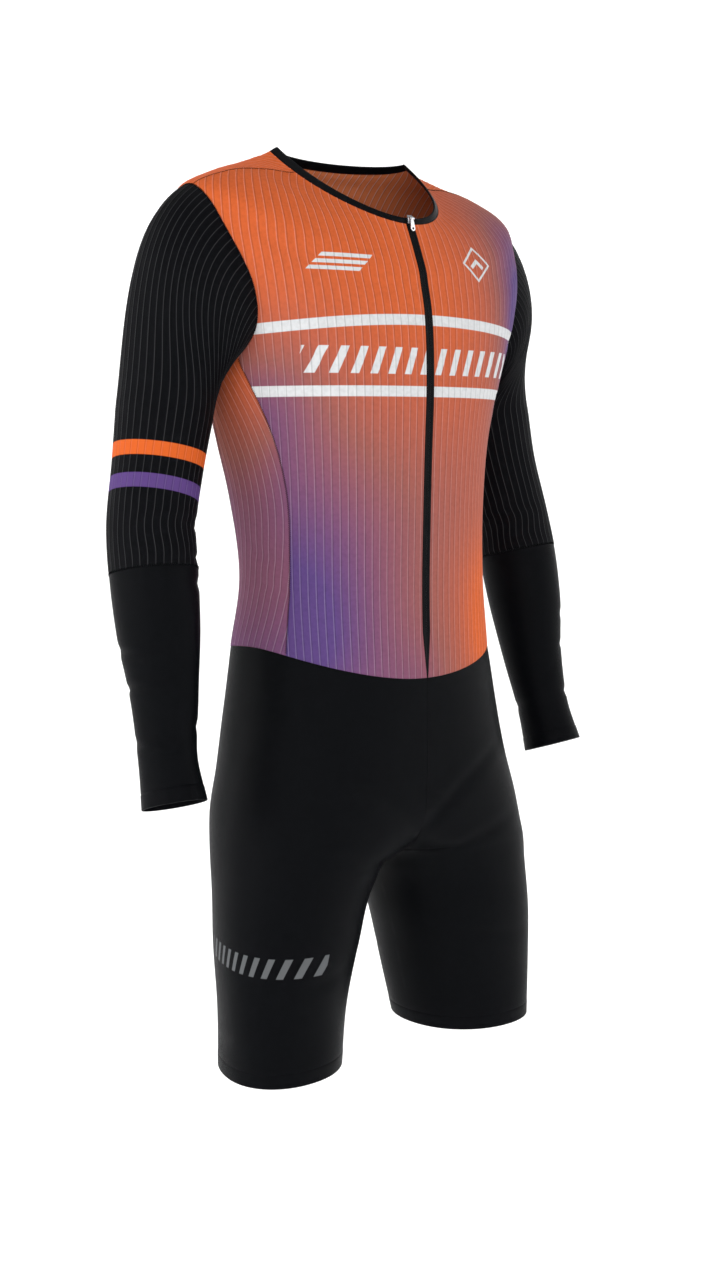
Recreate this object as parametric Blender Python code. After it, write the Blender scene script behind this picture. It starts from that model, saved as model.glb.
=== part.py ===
"""A long-sleeved cycling skinsuit, hollow and filled out as worn, with a full front zip.

Metres, +Z up. The suit faces -Y and +X is the wearer's left. The origin is the centre of the neck opening
at the height of the shoulders, and the suit hangs down from it. Every cloth piece is a wall of even
thickness on a surface that is worked out from the tables of sections below. The left pieces are worked out,
and the right ones mirror them.
"""

import math

import bpy
import numpy as np
from mathutils import Matrix, Vector
from mathutils.geometry import delaunay_2d_cdt

# ---- Cloth --------------------------------------------------------------------------------------------
CLOTH_WALL = 0.0015
BINDING_WALL = 0.0022
SEAM_GAP = 0.0003
PROBE = 1e-4

# ---- Torso: one closed section a row, from the waist seam to the top of the neck binding --------------
# level is the row's place up the torso. A section has a half width, the y of its front, side and back, the z
# of its front, side and back, and a squareness for its front and back (2 is an ellipse, more is squarer).
# flare is the share by which its back is wider, and its front narrower, than its side. crest is how its
# height falls away from the side: 2 is softly, less is from a sharper crest.
TORSO_COLUMNS = (
    "level", "half_width", "front_y", "side_y", "back_y", "front_z", "side_z", "back_z", "front_square",
    "back_square", "flare", "crest",
)
TORSO_SECTIONS = {
    "waist_seam": (0.000, 0.140, -0.103, -0.004, 0.092, -0.506, -0.474, -0.492, 2.4, 2.4, 0.033, 2.0),
    "waist": (0.080, 0.132, -0.100, -0.004, 0.083, -0.425, -0.405, -0.415, 2.4, 2.4, 0.020, 2.0),
    "lower_ribs": (0.155, 0.136, -0.101, -0.004, 0.091, -0.350, -0.332, -0.340, 2.4, 2.4, 0.080, 2.0),
    "upper_ribs": (0.225, 0.148, -0.103, -0.003, 0.102, -0.282, -0.262, -0.268, 2.4, 2.4, 0.120, 2.0),
    "under_arm": (0.280, 0.163, -0.105, 0.002, 0.107, -0.230, -0.204, -0.210, 2.4, 2.4, 0.070, 2.0),
    "chest": (0.345, 0.181, -0.104, 0.010, 0.110, -0.180, -0.142, -0.150, 2.5, 2.5, 0.020, 2.0),
    "shoulder_blade": (0.395, 0.191, -0.101, 0.019, 0.110, -0.150, -0.094, -0.110, 2.5, 2.4, 0.000, 1.8),
    "shoulder": (0.440, 0.194, -0.096, 0.026, 0.104, -0.127, -0.049, -0.068, 2.4, 2.3, 0.000, 1.6),
    "outer_shoulder": (0.460, 0.189, -0.094, 0.028, 0.100, -0.117, -0.038, -0.055, 2.4, 2.3, 0.000, 1.9),
    "mid_shoulder": (0.500, 0.154, -0.087, 0.030, 0.089, -0.098, -0.0205, -0.035, 2.3, 2.2, 0.000, 1.9),
    "neck_base": (0.540, 0.118, -0.080, 0.031, 0.075, -0.081, -0.0085, -0.014, 2.2, 2.1, 0.000, 1.4),
    "neckline": (0.570, 0.089, -0.075, 0.030, 0.062, -0.069, 0.0035, -0.003, 2.1, 2.0, 0.000, 1.0),
    "binding_top": (0.580, 0.082, -0.073, 0.027, 0.055, -0.063, 0.008, 0.004, 2.1, 1.9, 0.000, 1.0),
}

# ---- Seams on the torso, as angles round the section (0 front, 90 side, 180 back) at levels -----------
SEAM_COLUMNS = ("level", "angle")
PRINCESS_SEAM = {
    "waist": (0.000, 66.0),
    "belly": (0.100, 67.0),
    "ribs": (0.170, 69.0),
    "upper_ribs": (0.225, 75.0),
    "under_arm": (0.280, 84.0),
}
SIDE_BACK_SEAM = {
    "waist": (0.000, 122.0),
    "loin": (0.110, 121.0),
    "ribs": (0.200, 119.0),
    "under_arm": (0.280, 116.0),
}
# The armhole runs from the shoulder seam down the front, under the arm and up the back. turn is the share of
# the way round the sleeve, from its outer side.
ARMHOLE_COLUMNS = ("turn", "angle", "level")
ARMHOLE = {
    "shoulder_seam": (0.03, 85.0, 0.460),
    "front_top": (0.10, 71.0, 0.442),
    "front_middle": (0.18, 61.5, 0.400),
    "front_low": (0.26, 59.5, 0.360),
    "front_bend": (0.34, 65.0, 0.318),
    "princess_seam": (0.42, 80.0, 0.288),
    "under_arm": (0.50, 98.0, 0.282),
    "side_back_seam": (0.58, 114.0, 0.292),
    "back_low": (0.68, 123.0, 0.330),
    "back_middle": (0.79, 123.0, 0.385),
    "back_top": (0.90, 109.0, 0.440),
}
SHOULDER_SEAM_NECK_ANGLE = 71.0
SHOULDER_TURN = ARMHOLE["shoulder_seam"][0]
PRINCESS_TURN = ARMHOLE["princess_seam"][0]
SIDE_BACK_TURN = ARMHOLE["side_back_seam"][0]
NECKLINE = TORSO_SECTIONS["neckline"][0]
BINDING_TOP = TORSO_SECTIONS["binding_top"][0]

# ---- Left arm: one section a row, from just below the armpit to the cuff ------------------------------
ARM_COLUMNS = ("along", "centre_x", "centre_y", "centre_z", "half_width", "half_depth")
ARM_SECTIONS = {
    "under_cap": (0.00, 0.2110, 0.036, -0.250, 0.0450, 0.048),
    "biceps": (0.05, 0.2220, 0.032, -0.300, 0.0420, 0.045),
    "above_elbow": (0.11, 0.2360, 0.023, -0.360, 0.0410, 0.043),
    "elbow": (0.15, 0.2395, 0.014, -0.400, 0.0410, 0.043),
    "forearm": (0.20, 0.2420, 0.004, -0.450, 0.0385, 0.041),
    "lower_forearm": (0.27, 0.2440, -0.008, -0.515, 0.0310, 0.033),
    "wrist": (0.32, 0.2490, -0.020, -0.570, 0.0270, 0.029),
    "cuff_edge": (0.36, 0.2510, -0.033, -0.610, 0.0300, 0.032),
}
SLEEVE_SEAM_ALONG = 0.147
CAP_LENGTH = 0.16
CAP_TOP_LENGTH = 0.23
CAP_UNDER_LENGTH = 0.05
CAP_FORWARD = 0.05
# The ways in which the sleeve leaves the armhole.
CAP_WAYS = {
    "outer": (0.84, 0.00, -0.54),
    "front": (0.74, -0.10, -0.66),
    "inner": (0.75, 0.00, -0.66),
    "back": (0.75, 0.20, -0.63),
}

# ---- Left leg: one section a row, from the waist seam to the hem --------------------------------------
# inner_x is below zero where the two legs still run into each other, and above zero where they have parted.
LEG_COLUMNS = ("z", "inner_x", "outer_x", "front_y", "back_y", "square", "flare")
LEG_SECTIONS = {
    "hip_bone": (-0.540, -0.128, 0.149, -0.103, 0.101, 2.4, -0.02),
    "seat": (-0.600, -0.098, 0.161, -0.102, 0.106, 2.3, -0.08),
    "upper_crotch": (-0.645, -0.058, 0.171, -0.101, 0.104, 2.3, -0.10),
    "low_crotch": (-0.675, -0.020, 0.176, -0.099, 0.096, 2.2, -0.11),
    "crotch": (-0.690, 0.000, 0.178, -0.097, 0.089, 2.2, -0.11),
    "upper_thigh": (-0.715, 0.016, 0.181, -0.095, 0.081, 2.1, -0.11),
    "thigh": (-0.770, 0.034, 0.185, -0.092, 0.071, 2.1, -0.12),
    "lower_thigh": (-0.830, 0.048, 0.185, -0.087, 0.061, 2.1, -0.13),
    "hem": (-0.890, 0.058, 0.186, -0.087, 0.051, 2.1, -0.09),
}
WAIST_TILT_FADE = 0.09
CROTCH_FILL_REACH = 0.022
CROTCH_FILL_STEEPNESS = 1.5

# ---- Zip ----------------------------------------------------------------------------------------------
ZIP_WIDTH = 0.010
ZIP_TIP_WIDTH = 0.0016
ZIP_TAPER = 0.045
ZIP_WALL = 0.0018

# The slider stands on the tape under the neckline. Its side view is (up the zip, out from the tape) pairs.
SLIDER_LEVEL = 0.577
SLIDER_WIDTH = 0.0064
SLIDER_SIDE = (
    (-0.0042, 0.0004),
    (0.0042, 0.0004),
    (0.0042, 0.0016),
    (0.0032, 0.0023),
    (-0.0010, 0.0023),
    (-0.0042, 0.0009),
)
EAR_INSET = 0.00235
EAR_WIDTH = 0.0009
EAR_LENGTH = 0.0024
EAR_FOOT = 0.0015
BAR_OUT = 0.0040
BAR_RADIUS = 0.0005
PULL_KNUCKLE_RADIUS = 0.0014
PULL_HOLE_RADIUS = 0.0009
PULL_KNUCKLE_LENGTH = 0.0032
PULL_NECK = 0.0018
PULL_WIDTH = 0.0054
PULL_THICK = 0.0012
PULL_LENGTH = 0.0125
PULL_EYE_RADIUS = 0.0012
PULL_LEAN = math.radians(9.0)
ROUND_SIDES = 16

# ---- How finely the cloth is divided ------------------------------------------------------------------
NECK_COLUMNS = 6
SHOULDER_COLUMNS = 4
PRINCESS_ROWS = 9
ARMHOLE_FRONT_ROWS = 8
SIDE_COLUMNS = 5
BACK_NECK_COLUMNS = 10
SLEEVE_CAP_ROWS = 7
UPPER_SLEEVE_ROWS = 5
LOWER_SLEEVE_ROWS = 6
ROWS_TO_CROTCH = 8
ROWS_TO_HEM = 5
# Above one, these set the shorts' rows closer together towards the crotch.
ROWS_EASE_ABOVE = 1.8
ROWS_EASE_BELOW = 1.4
FRONT_WAIST_COLUMNS = 7
BACK_WAIST_COLUMNS = 9
PANEL_STEP = 0.027
PANEL_CLEAR = 0.55
PANEL_RADIUS = 0.13
# The least that a corner's two shifts are divided by, so that a sharp corner isn't drawn in too far.
CORNER_LIMIT = 0.4
ARM_STEP = 0.01

CLOTH_BLACK = (0.012, 0.013, 0.016)
CLOTH_ORANGE = (0.62, 0.13, 0.03)
CLOTH_MAUVE = (0.28, 0.12, 0.14)
METAL = (0.75, 0.76, 0.78)


# ---- Reading the tables -------------------------------------------------------------------------------
def column(names, rows, name):
    """One named column of a table, as an array."""
    return np.array([row[names.index(name)] for row in rows.values()], float)


def follow(knots, values, at):
    """A smooth curve through (knots, values): cubic between knots, its slope there from the neighbours."""
    slopes = np.gradient(values, knots)
    at = np.clip(at, knots[0], knots[-1])
    span = np.clip(np.searchsorted(knots, at, side="right") - 1, 0, len(knots) - 2)
    width = knots[span + 1] - knots[span]
    t = (at - knots[span]) / width
    return (
        (1 + 2 * t) * (1 - t) ** 2 * values[span]
        + t * (1 - t) ** 2 * width * slopes[span]
        + t * t * (3 - 2 * t) * values[span + 1]
        + t * t * (t - 1) * width * slopes[span + 1]
    )


def unit(vectors):
    """The vectors at length one."""
    return vectors / np.linalg.norm(vectors, axis=-1, keepdims=True)


# ---- Surfaces: arrays of points from two parameters ---------------------------------------------------
def superellipse(angle, square):
    """The distance from the middle to a superellipse of half sizes one, in the direction of the angle."""
    return (np.abs(np.sin(angle)) ** square + np.abs(np.cos(angle)) ** square) ** (-1 / square)


def torso(angle, level):
    """Torso surface. The section at this level is half_width wide, and reaches from side_y to front_y and
    back_y. Its height goes from side_z to front_z or back_z with a power of the angle's cosine."""
    knots = column(TORSO_COLUMNS, TORSO_SECTIONS, "level")
    at = {name: follow(knots, column(TORSO_COLUMNS, TORSO_SECTIONS, name), level) for name in TORSO_COLUMNS}
    front = np.cos(angle) > 0
    distance = superellipse(angle, np.where(front, at["front_square"], at["back_square"]))
    reach = np.where(front, at["side_y"] - at["front_y"], at["back_y"] - at["side_y"])
    rise = np.where(front, at["front_z"], at["back_z"]) - at["side_z"]
    x = at["half_width"] * np.sin(angle) * distance * (1 - at["flare"] * np.cos(angle) * distance)
    y = at["side_y"] - reach * np.cos(angle) * distance
    z = at["side_z"] + rise * np.abs(np.cos(angle)) ** at["crest"]
    return np.stack(np.broadcast_arrays(x, y, z), -1)


def torso_angle_at(x, level):
    """The angle on the front of the torso where the section at this level is x from the middle plane."""
    low = np.zeros_like(level)
    high = np.full_like(level, math.radians(60))
    for _ in range(40):
        middle = (low + high) / 2
        over = torso(middle, level)[..., 0] > x
        high = np.where(over, middle, high)
        low = np.where(over, low, middle)
    return (low + high) / 2


def arm_rows(along):
    """The arm's columns by name, at these places along the arm."""
    knots = column(ARM_COLUMNS, ARM_SECTIONS, "along")
    return {name: follow(knots, column(ARM_COLUMNS, ARM_SECTIONS, name), along) for name in ARM_COLUMNS}


def arm_centre(along):
    """The arm's centre line."""
    at = arm_rows(along)
    return np.stack([at["centre_x"], at["centre_y"], at["centre_z"]], -1)


def arm(turn, along):
    """Arm surface. The section is an ellipse square to the centre line. turn runs from 0 on the outer side,
    over the front, the inner side and the back, to 1."""
    at = arm_rows(along)
    last = ARM_SECTIONS["cuff_edge"][0]
    ahead, behind = (np.clip(along + step, 0, last) for step in (ARM_STEP, -ARM_STEP))
    down = unit(arm_centre(ahead) - arm_centre(behind))
    outwards = unit(np.array([1.0, 0, 0]) - down[..., :1] * down)
    forwards = np.cross(down, outwards)
    across = (at["half_width"] * np.cos(2 * math.pi * turn))[..., None] * outwards
    return arm_centre(along) + across + (at["half_depth"] * np.sin(2 * math.pi * turn))[..., None] * forwards


def armhole(turn):
    """(angle, level) of the armhole on the torso: a closed smooth curve through the table's rows."""
    knots = column(ARMHOLE_COLUMNS, ARMHOLE, "turn")
    knots = np.concatenate([knots[-2:] - 1, knots, knots[:3] + 1])
    at = knots[2] + np.mod(turn - knots[2], 1)
    values = [column(ARMHOLE_COLUMNS, ARMHOLE, name) for name in ("angle", "level")]
    angle, level = (follow(knots, np.concatenate([v[-2:], v, v[:3]]), at) for v in values)
    return np.radians(angle), level


def sleeve(turn, along):
    """Sleeve surface. Below zero, along runs back over the cap to the armhole: there a cubic curve leaves
    the torso outwards and down, and meets the arm's first section going down it."""
    angle, level = armhole(turn)
    edge = torso(angle, level)
    quarter = 2 * math.pi * turn
    shares = np.stack([np.cos(quarter), np.sin(quarter), -np.cos(quarter), -np.sin(quarter)], -1)
    leave = unit(np.maximum(shares, 0) ** 2 @ np.array(list(CAP_WAYS.values())))
    top = 0.5 + 0.5 * np.cos(2 * math.pi * (turn - CAP_FORWARD))
    length = CAP_UNDER_LENGTH + (CAP_TOP_LENGTH - CAP_UNDER_LENGTH) * top
    zero = np.zeros_like(along)
    down = unit(arm_centre(zero + ARM_STEP) - arm_centre(zero))
    t = np.clip(1 + along / CAP_LENGTH, 0, 1)[..., None]
    stretch = length[..., None]
    cap = (
        (1 + 2 * t) * (1 - t) ** 2 * edge
        + t * (1 - t) ** 2 * stretch * leave
        + t * t * (3 - 2 * t) * arm(turn, zero)
        + t * t * (t - 1) * stretch * down
    )
    return np.where(along[..., None] < 0, cap, arm(turn, np.maximum(along, 0)))


def leg_rows():
    """The leg's columns by name, with the waist seam's own row put first so that shorts and torso meet."""
    waist = TORSO_SECTIONS["waist_seam"]
    names = ("side_z", "half_width", "half_width", "front_y", "back_y", "front_square", "flare")
    first = [waist[TORSO_COLUMNS.index(name)] for name in names]
    first[1] = -first[1]
    rows = {"waist_seam": first, **LEG_SECTIONS}
    return {name: column(LEG_COLUMNS, rows, name) for name in LEG_COLUMNS}


def leg(drop, share):
    """Leg surface. share runs from 0 at the front of the middle plane, round the outer side, to 1 at its
    back. drop is how far the section lies below the side of the waist seam. Where the legs run into each
    other the section stops at the middle plane, and a soft fill keeps it from forming a cleft there."""
    rows = leg_rows()
    knots = rows["z"][0] - rows["z"]
    at = {name: follow(knots, rows[name], drop) for name in LEG_COLUMNS}
    half = (at["outer_x"] - at["inner_x"]) / 2
    centre_x = (at["outer_x"] + at["inner_x"]) / 2
    waist = TORSO_SECTIONS["waist_seam"][TORSO_COLUMNS.index("side_y")]
    fade = np.clip(drop / WAIST_TILT_FADE, 0, 1)
    side_y = waist * (1 - fade) + (at["front_y"] + at["back_y"]) / 2 * fade
    cut = np.clip(centre_x / half, 0, 1)
    inner = (1 - cut ** at["square"]) ** (1 / at["square"])
    first = -np.arctan2(cut, inner)
    angle = math.pi * share + first * (1 - 2 * share) ** 3
    front = np.cos(angle) > 0
    distance = superellipse(angle, at["square"])
    reach = np.where(front, side_y - at["front_y"], at["back_y"] - side_y)
    x = (centre_x + half * np.sin(angle) * distance) * (1 - at["flare"] * np.cos(angle) * distance)
    y = side_y - reach * np.cos(angle) * distance
    steep = reach / half * cut ** (at["square"] - 1) / np.maximum(inner, 1e-3) ** (at["square"] - 1)
    fill = CROTCH_FILL_REACH * steep / (1 + (steep / CROTCH_FILL_STEEPNESS) ** 2)
    y = y + np.where(front, -1, 1) * fill * np.exp(-np.maximum(x, 0) / CROTCH_FILL_REACH)
    tilt = {name: TORSO_SECTIONS["waist_seam"][TORSO_COLUMNS.index(name)] for name in TORSO_COLUMNS[5:8]}
    rise = np.where(front, tilt["front_z"], tilt["back_z"]) - tilt["side_z"]
    z = tilt["side_z"] - drop + rise * np.cos(angle) ** 2 * (1 - fade) ** 2
    return np.stack(np.broadcast_arrays(x, y, z), -1)


def normals(surface, first, second):
    """Unit normals of a surface: its change with the first parameter, crossed with that with the second."""
    one = surface(first + PROBE, second) - surface(first - PROBE, second)
    other = surface(first, second + PROBE) - surface(first, second - PROBE)
    return unit(np.cross(one, other))


# ---- Walls: an outer skin of faces, its copy moved in by the thickness, and a rim round every free edge
def edge_shift(points, facing, inwards):
    """Half the seam gap, square to an edge in the cloth's surface, on the side that inwards points to."""
    run = unit(np.gradient(points, axis=0))
    way = np.cross(facing, run)
    way *= np.sign((way * inwards).sum(-1, keepdims=True))
    return SEAM_GAP / 2 * way


def part_at_seams(points, facing, edges):
    """The grid with its named edges drawn back by half a seam gap."""
    moved = points.copy()
    if "bottom" in edges:
        moved[0] += edge_shift(points[0], facing[0], points[1] - points[0])
    if "top" in edges:
        moved[-1] += edge_shift(points[-1], facing[-1], points[-2] - points[-1])
    if "left" in edges:
        moved[:, 0] += edge_shift(points[:, 0], facing[:, 0], points[:, 1] - points[:, 0])
    if "right" in edges:
        moved[:, -1] += edge_shift(points[:, -1], facing[:, -1], points[:, -2] - points[:, -1])
    return moved


def draw_in(points, facing):
    """A closed outline, anticlockwise as seen from outside, drawn in by half a seam gap on every side."""
    before = unit(points - np.roll(points, 1, axis=0))
    after = unit(np.roll(points, -1, axis=0) - points)
    one, other = np.cross(facing, before), np.cross(facing, after)
    spread = 1 + (one * other).sum(-1, keepdims=True)
    return points + SEAM_GAP / 2 * (one + other) / np.maximum(spread, CORNER_LIMIT)


def grid_faces(rows, columns, joined=None):
    """The four-sided faces of a grid. joined holds whether each row's first and last points are one."""
    index = np.arange(rows * columns).reshape(rows, columns)
    if joined is not None:
        index[joined, -1] = index[joined, 0]
    return np.stack([index[:-1, :-1], index[:-1, 1:], index[1:, 1:], index[1:, :-1]], -1).reshape(-1, 4)


def wall(name, outer, facing, faces, thickness, material):
    """A closed wall on these outer points and faces, which run anticlockwise as seen from outside."""
    sides = faces.shape[1]
    used, faces = np.unique(faces, return_inverse=True)
    faces = faces.reshape(-1, sides)
    outer, facing = outer.reshape(-1, 3)[used], facing.reshape(-1, 3)[used]
    count = len(outer)
    ways = {(face[i], face[(i + 1) % sides]) for face in faces.tolist() for i in range(sides)}
    rim = [(b, a, a + count, b + count) for a, b in sorted(ways) if (b, a) not in ways]
    points = np.concatenate([outer, outer - thickness * facing])
    return add_object(name, points, faces.tolist() + (faces[:, ::-1] + count).tolist() + rim, material)


def add_object(name, points, faces, material):
    """A smooth-shaded mesh object."""
    mesh = bpy.data.meshes.new(name)
    mesh.from_pydata(points.tolist(), [], faces)
    mesh.shade_smooth()
    mesh.materials.append(material)
    thing = bpy.data.objects.new(name, mesh)
    bpy.context.scene.collection.objects.link(thing)
    return thing


def wall_pair(name, outer, facing, faces, thickness, material):
    """The wall on the left, and its mirror image on the right."""
    wall(name + "_left", outer, facing, faces, thickness, material)
    mirror = np.array([-1.0, 1, 1])
    wall(name + "_right", outer * mirror, facing * mirror, faces[:, ::-1], thickness, material)


# ---- Panels cut from the torso: an outline of seams, filled with triangles ----------------------------
def inside(outline, points):
    """Whether each point lies in the outline: a line to the right crosses it an odd number of times."""
    start, end = outline, np.roll(outline, -1, axis=0)
    x, y = points[:, :1], points[:, 1:]
    spans = (start[:, 1] > y) != (end[:, 1] > y)
    rise = np.where(start[:, 1] == end[:, 1], 1, end[:, 1] - start[:, 1])
    crossing = start[:, 0] + (y - start[:, 1]) / rise * (end[:, 0] - start[:, 0])
    return (spans & (x < crossing)).sum(-1) % 2 == 1


def filling(outline):
    """Points of an even triangular lattice inside the outline, kept clear of its edge."""
    low, high = outline.min(0), outline.max(0)
    rows = np.arange(low[1], high[1], PANEL_STEP * math.sqrt(0.75))
    columns = np.arange(low[0], high[0], PANEL_STEP)
    x, y = np.meshgrid(columns, rows)
    x = x + PANEL_STEP / 2 * (np.arange(len(rows)) % 2)[:, None]
    points = np.stack([x, y], -1).reshape(-1, 2)
    start, end = outline, np.roll(outline, -1, axis=0)
    along = ((points[:, None] - start) * (end - start)).sum(-1) / ((end - start) ** 2).sum(-1)
    nearest = start + np.clip(along, 0, 1)[..., None] * (end - start)
    clear = np.linalg.norm(points[:, None] - nearest, axis=-1).min(-1) > PANEL_CLEAR * PANEL_STEP
    return points[inside(outline, points) & clear]


def panel(outline):
    """Points, facings and triangles of the panel whose outline is given as pairs (angle, level),
    anticlockwise as seen from outside."""
    scale = np.array([PANEL_RADIUS, 1.0])
    flat = np.concatenate([outline * scale, filling(outline * scale)])
    around = [tuple(range(len(outline)))]
    _, _, faces, origins, _, _ = delaunay_2d_cdt([Vector(p) for p in flat.tolist()], [], around, 1, 1e-7)
    faces = np.array([[origins[i][0] for i in face] for face in faces])
    pairs = flat / scale
    points = torso(pairs[:, 0], pairs[:, 1])
    facing = normals(torso, pairs[:, 0], pairs[:, 1])
    points[: len(outline)] = draw_in(points[: len(outline)], facing[: len(outline)])
    return points, facing, faces


# ---- Seam curves as rows of parameter pairs -----------------------------------------------------------
def seam(rows, levels):
    """Pairs (angle, level) of a seam whose table gives its angle in degrees at levels."""
    angles = follow(column(SEAM_COLUMNS, rows, "level"), column(SEAM_COLUMNS, rows, "angle"), levels)
    return np.stack([np.radians(angles), levels], -1)


def armhole_run(first, last, count):
    """Pairs (angle, level) along the armhole, from one turn to another."""
    return np.stack(armhole(np.linspace(first, last, count + 1)), -1)


def meet(seam_pairs, point):
    """The seam with its upper half drawn over so that it ends on the armhole's point."""
    share = np.linspace(0, 1, len(seam_pairs))[:, None] ** 2
    return seam_pairs + share * (point - seam_pairs[-1])


def level_pairs(angles, level):
    """Pairs at one level."""
    return np.stack([angles, np.full_like(angles, level)], -1)


def straight(start, end, count):
    """Evenly spaced pairs from start to end."""
    return start + np.linspace(0, 1, count + 1)[:, None] * (end - start)


def zip_half_width(level):
    """Half the zip's width: even, and drawn to a narrow tip at the waist seam."""
    return (ZIP_TIP_WIDTH + (ZIP_WIDTH - ZIP_TIP_WIDTH) * np.clip(level / ZIP_TAPER, 0, 1)) / 2


def zip_levels():
    """The levels of the front panels' rows at the zip, and one more at the top of the binding."""
    rows = PRINCESS_ROWS + ARMHOLE_FRONT_ROWS
    return np.append(np.linspace(0, NECKLINE, rows + 1), BINDING_TOP)


def seams():
    """Every seam curve of the left half by name, as parameter pairs on the torso."""
    front_hole = armhole_run(SHOULDER_TURN, PRINCESS_TURN, ARMHOLE_FRONT_ROWS)
    under_hole = armhole_run(PRINCESS_TURN, SIDE_BACK_TURN, SIDE_COLUMNS)
    back_hole = armhole_run(SIDE_BACK_TURN, 1 + SHOULDER_TURN, ARMHOLE_FRONT_ROWS)
    princess = seam(PRINCESS_SEAM, np.linspace(0, under_hole[0, 1], PRINCESS_ROWS + 1))
    side_back = seam(SIDE_BACK_SEAM, np.linspace(0, under_hole[-1, 1], PRINCESS_ROWS + 1))
    levels = zip_levels()[:-1]
    zip_edge = np.stack([torso_angle_at(zip_half_width(levels), levels), levels], -1)
    neck_corner = math.radians(SHOULDER_SEAM_NECK_ANGLE)
    front_neck = level_pairs(np.linspace(zip_edge[-1, 0], neck_corner, NECK_COLUMNS + 1), NECKLINE)
    behind = np.linspace(neck_corner, 2 * math.pi - neck_corner, BACK_NECK_COLUMNS + 1)
    return {
        "zip": zip_edge,
        "princess": meet(princess, under_hole[0]),
        "side_back": meet(side_back, under_hole[-1]),
        "front_hole": front_hole[::-1],
        "under_hole": under_hole,
        "back_hole": back_hole,
        "front_neck": front_neck,
        "shoulder": straight(front_neck[-1], front_hole[0], SHOULDER_COLUMNS),
        "back_neck": level_pairs(behind, NECKLINE),
    }


def waist_run(first, last, count):
    """Pairs along the waist seam between two angles."""
    return level_pairs(np.linspace(first, last, count + 1), 0.0)


def loop(*runs):
    """One closed outline from runs that follow each other, with each shared point kept once."""
    return np.concatenate([run[:-1] for run in runs])


def add_torso(orange, mauve):
    """The front, side and back panels."""
    lines = seams()
    zip_foot, princess_foot, back_foot = (lines[name][0, 0] for name in ("zip", "princess", "side_back"))
    front = loop(
        waist_run(zip_foot, princess_foot, FRONT_WAIST_COLUMNS),
        lines["princess"],
        lines["front_hole"],
        lines["shoulder"][::-1],
        lines["front_neck"][::-1],
        lines["zip"][::-1],
    )
    wall_pair("front", *panel(front), CLOTH_WALL, orange)
    waist = waist_run(princess_foot, back_foot, SIDE_COLUMNS)
    side = loop(waist, lines["side_back"], lines["under_hole"][::-1], lines["princess"][::-1])
    wall_pair("side", *panel(side), CLOTH_WALL, mauve)

    mirror = np.array([-1.0, 1.0])
    around = np.array([2 * math.pi, 0.0])
    left = np.concatenate([lines["side_back"], lines["back_hole"][1:], lines["shoulder"][::-1][1:]])
    waist = waist_run(back_foot, 2 * math.pi - back_foot, BACK_WAIST_COLUMNS)
    back = loop(waist, around + mirror * left, lines["back_neck"][::-1], left[::-1])
    wall("back", *panel(back), CLOTH_WALL, mauve)


def sleeve_grid(alongs, edges):
    """Points and facings of a sleeve piece, its columns at the armhole's own divisions."""
    front = np.linspace(SHOULDER_TURN, PRINCESS_TURN, ARMHOLE_FRONT_ROWS + 1)
    under = np.linspace(PRINCESS_TURN, SIDE_BACK_TURN, SIDE_COLUMNS + 1)[1:]
    back = np.linspace(SIDE_BACK_TURN, 1 + SHOULDER_TURN, ARMHOLE_FRONT_ROWS + 1)[1:]
    turn, along = np.meshgrid(np.concatenate([front, under, back]), alongs)
    points = sleeve(turn, along)
    return part_at_seams(points, normals(sleeve, turn, along), edges), normals(sleeve, turn, along)


def add_sleeves(black):
    """The ribbed upper sleeves and the plain lower ones."""
    cap = np.linspace(-CAP_LENGTH, 0, SLEEVE_CAP_ROWS + 1)
    upper = np.concatenate([cap, np.linspace(0, SLEEVE_SEAM_ALONG, UPPER_SLEEVE_ROWS + 1)[1:]])
    lower = np.linspace(SLEEVE_SEAM_ALONG, ARM_SECTIONS["cuff_edge"][0], LOWER_SLEEVE_ROWS + 1)
    pieces = (("sleeve_upper", upper, ("bottom", "top")), ("sleeve_lower", lower, ("bottom",)))
    for name, alongs, edges in pieces:
        points, facing = sleeve_grid(alongs, edges)
        faces = grid_faces(*points.shape[:2], np.full(len(alongs), True))
        wall_pair(name, points, facing, faces, CLOTH_WALL, black)


def add_shorts(black):
    """The two leg pieces, from the waist seam to the hem, joined to each other at the middle plane."""
    lines = seams()
    front = np.linspace(0, lines["princess"][0, 0], NECK_COLUMNS + SHOULDER_COLUMNS + 1)
    side = np.linspace(lines["princess"][0, 0], lines["side_back"][0, 0], SIDE_COLUMNS + 1)[1:]
    back = np.linspace(lines["side_back"][0, 0], math.pi, BACK_NECK_COLUMNS // 2 + SHOULDER_COLUMNS + 1)[1:]
    shares = np.concatenate([front, side, back]) / math.pi
    rows = leg_rows()
    crotch = rows["z"][0] - LEG_SECTIONS["crotch"][0]
    hem = rows["z"][0] - LEG_SECTIONS["hem"][0]
    above = crotch * (1 - (1 - np.linspace(0, 1, ROWS_TO_CROTCH + 1)) ** ROWS_EASE_ABOVE)
    below = crotch + (hem - crotch) * np.linspace(0, 1, ROWS_TO_HEM + 1)[1:] ** ROWS_EASE_BELOW
    drops = np.concatenate([above, below])[::-1]
    joined = drops >= crotch - PROBE
    drop, share = np.meshgrid(drops, shares, indexing="ij")
    facing = normals(leg, drop, share)
    points = leg(drop, share)
    facing[~joined, 0, 0] = 0
    facing[~joined, -1, 0] = 0
    facing = unit(facing)
    facing[joined, -1] = facing[joined, 0]
    points = part_at_seams(points, facing, ("top",))
    points[~joined, 0, 0] = SEAM_GAP / 2
    points[~joined, -1, 0] = SEAM_GAP / 2
    points[..., 0] = np.maximum(points[..., 0], SEAM_GAP / 2)
    wall_pair("shorts", points, facing, grid_faces(*points.shape[:2], joined), CLOTH_WALL, black)


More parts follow.
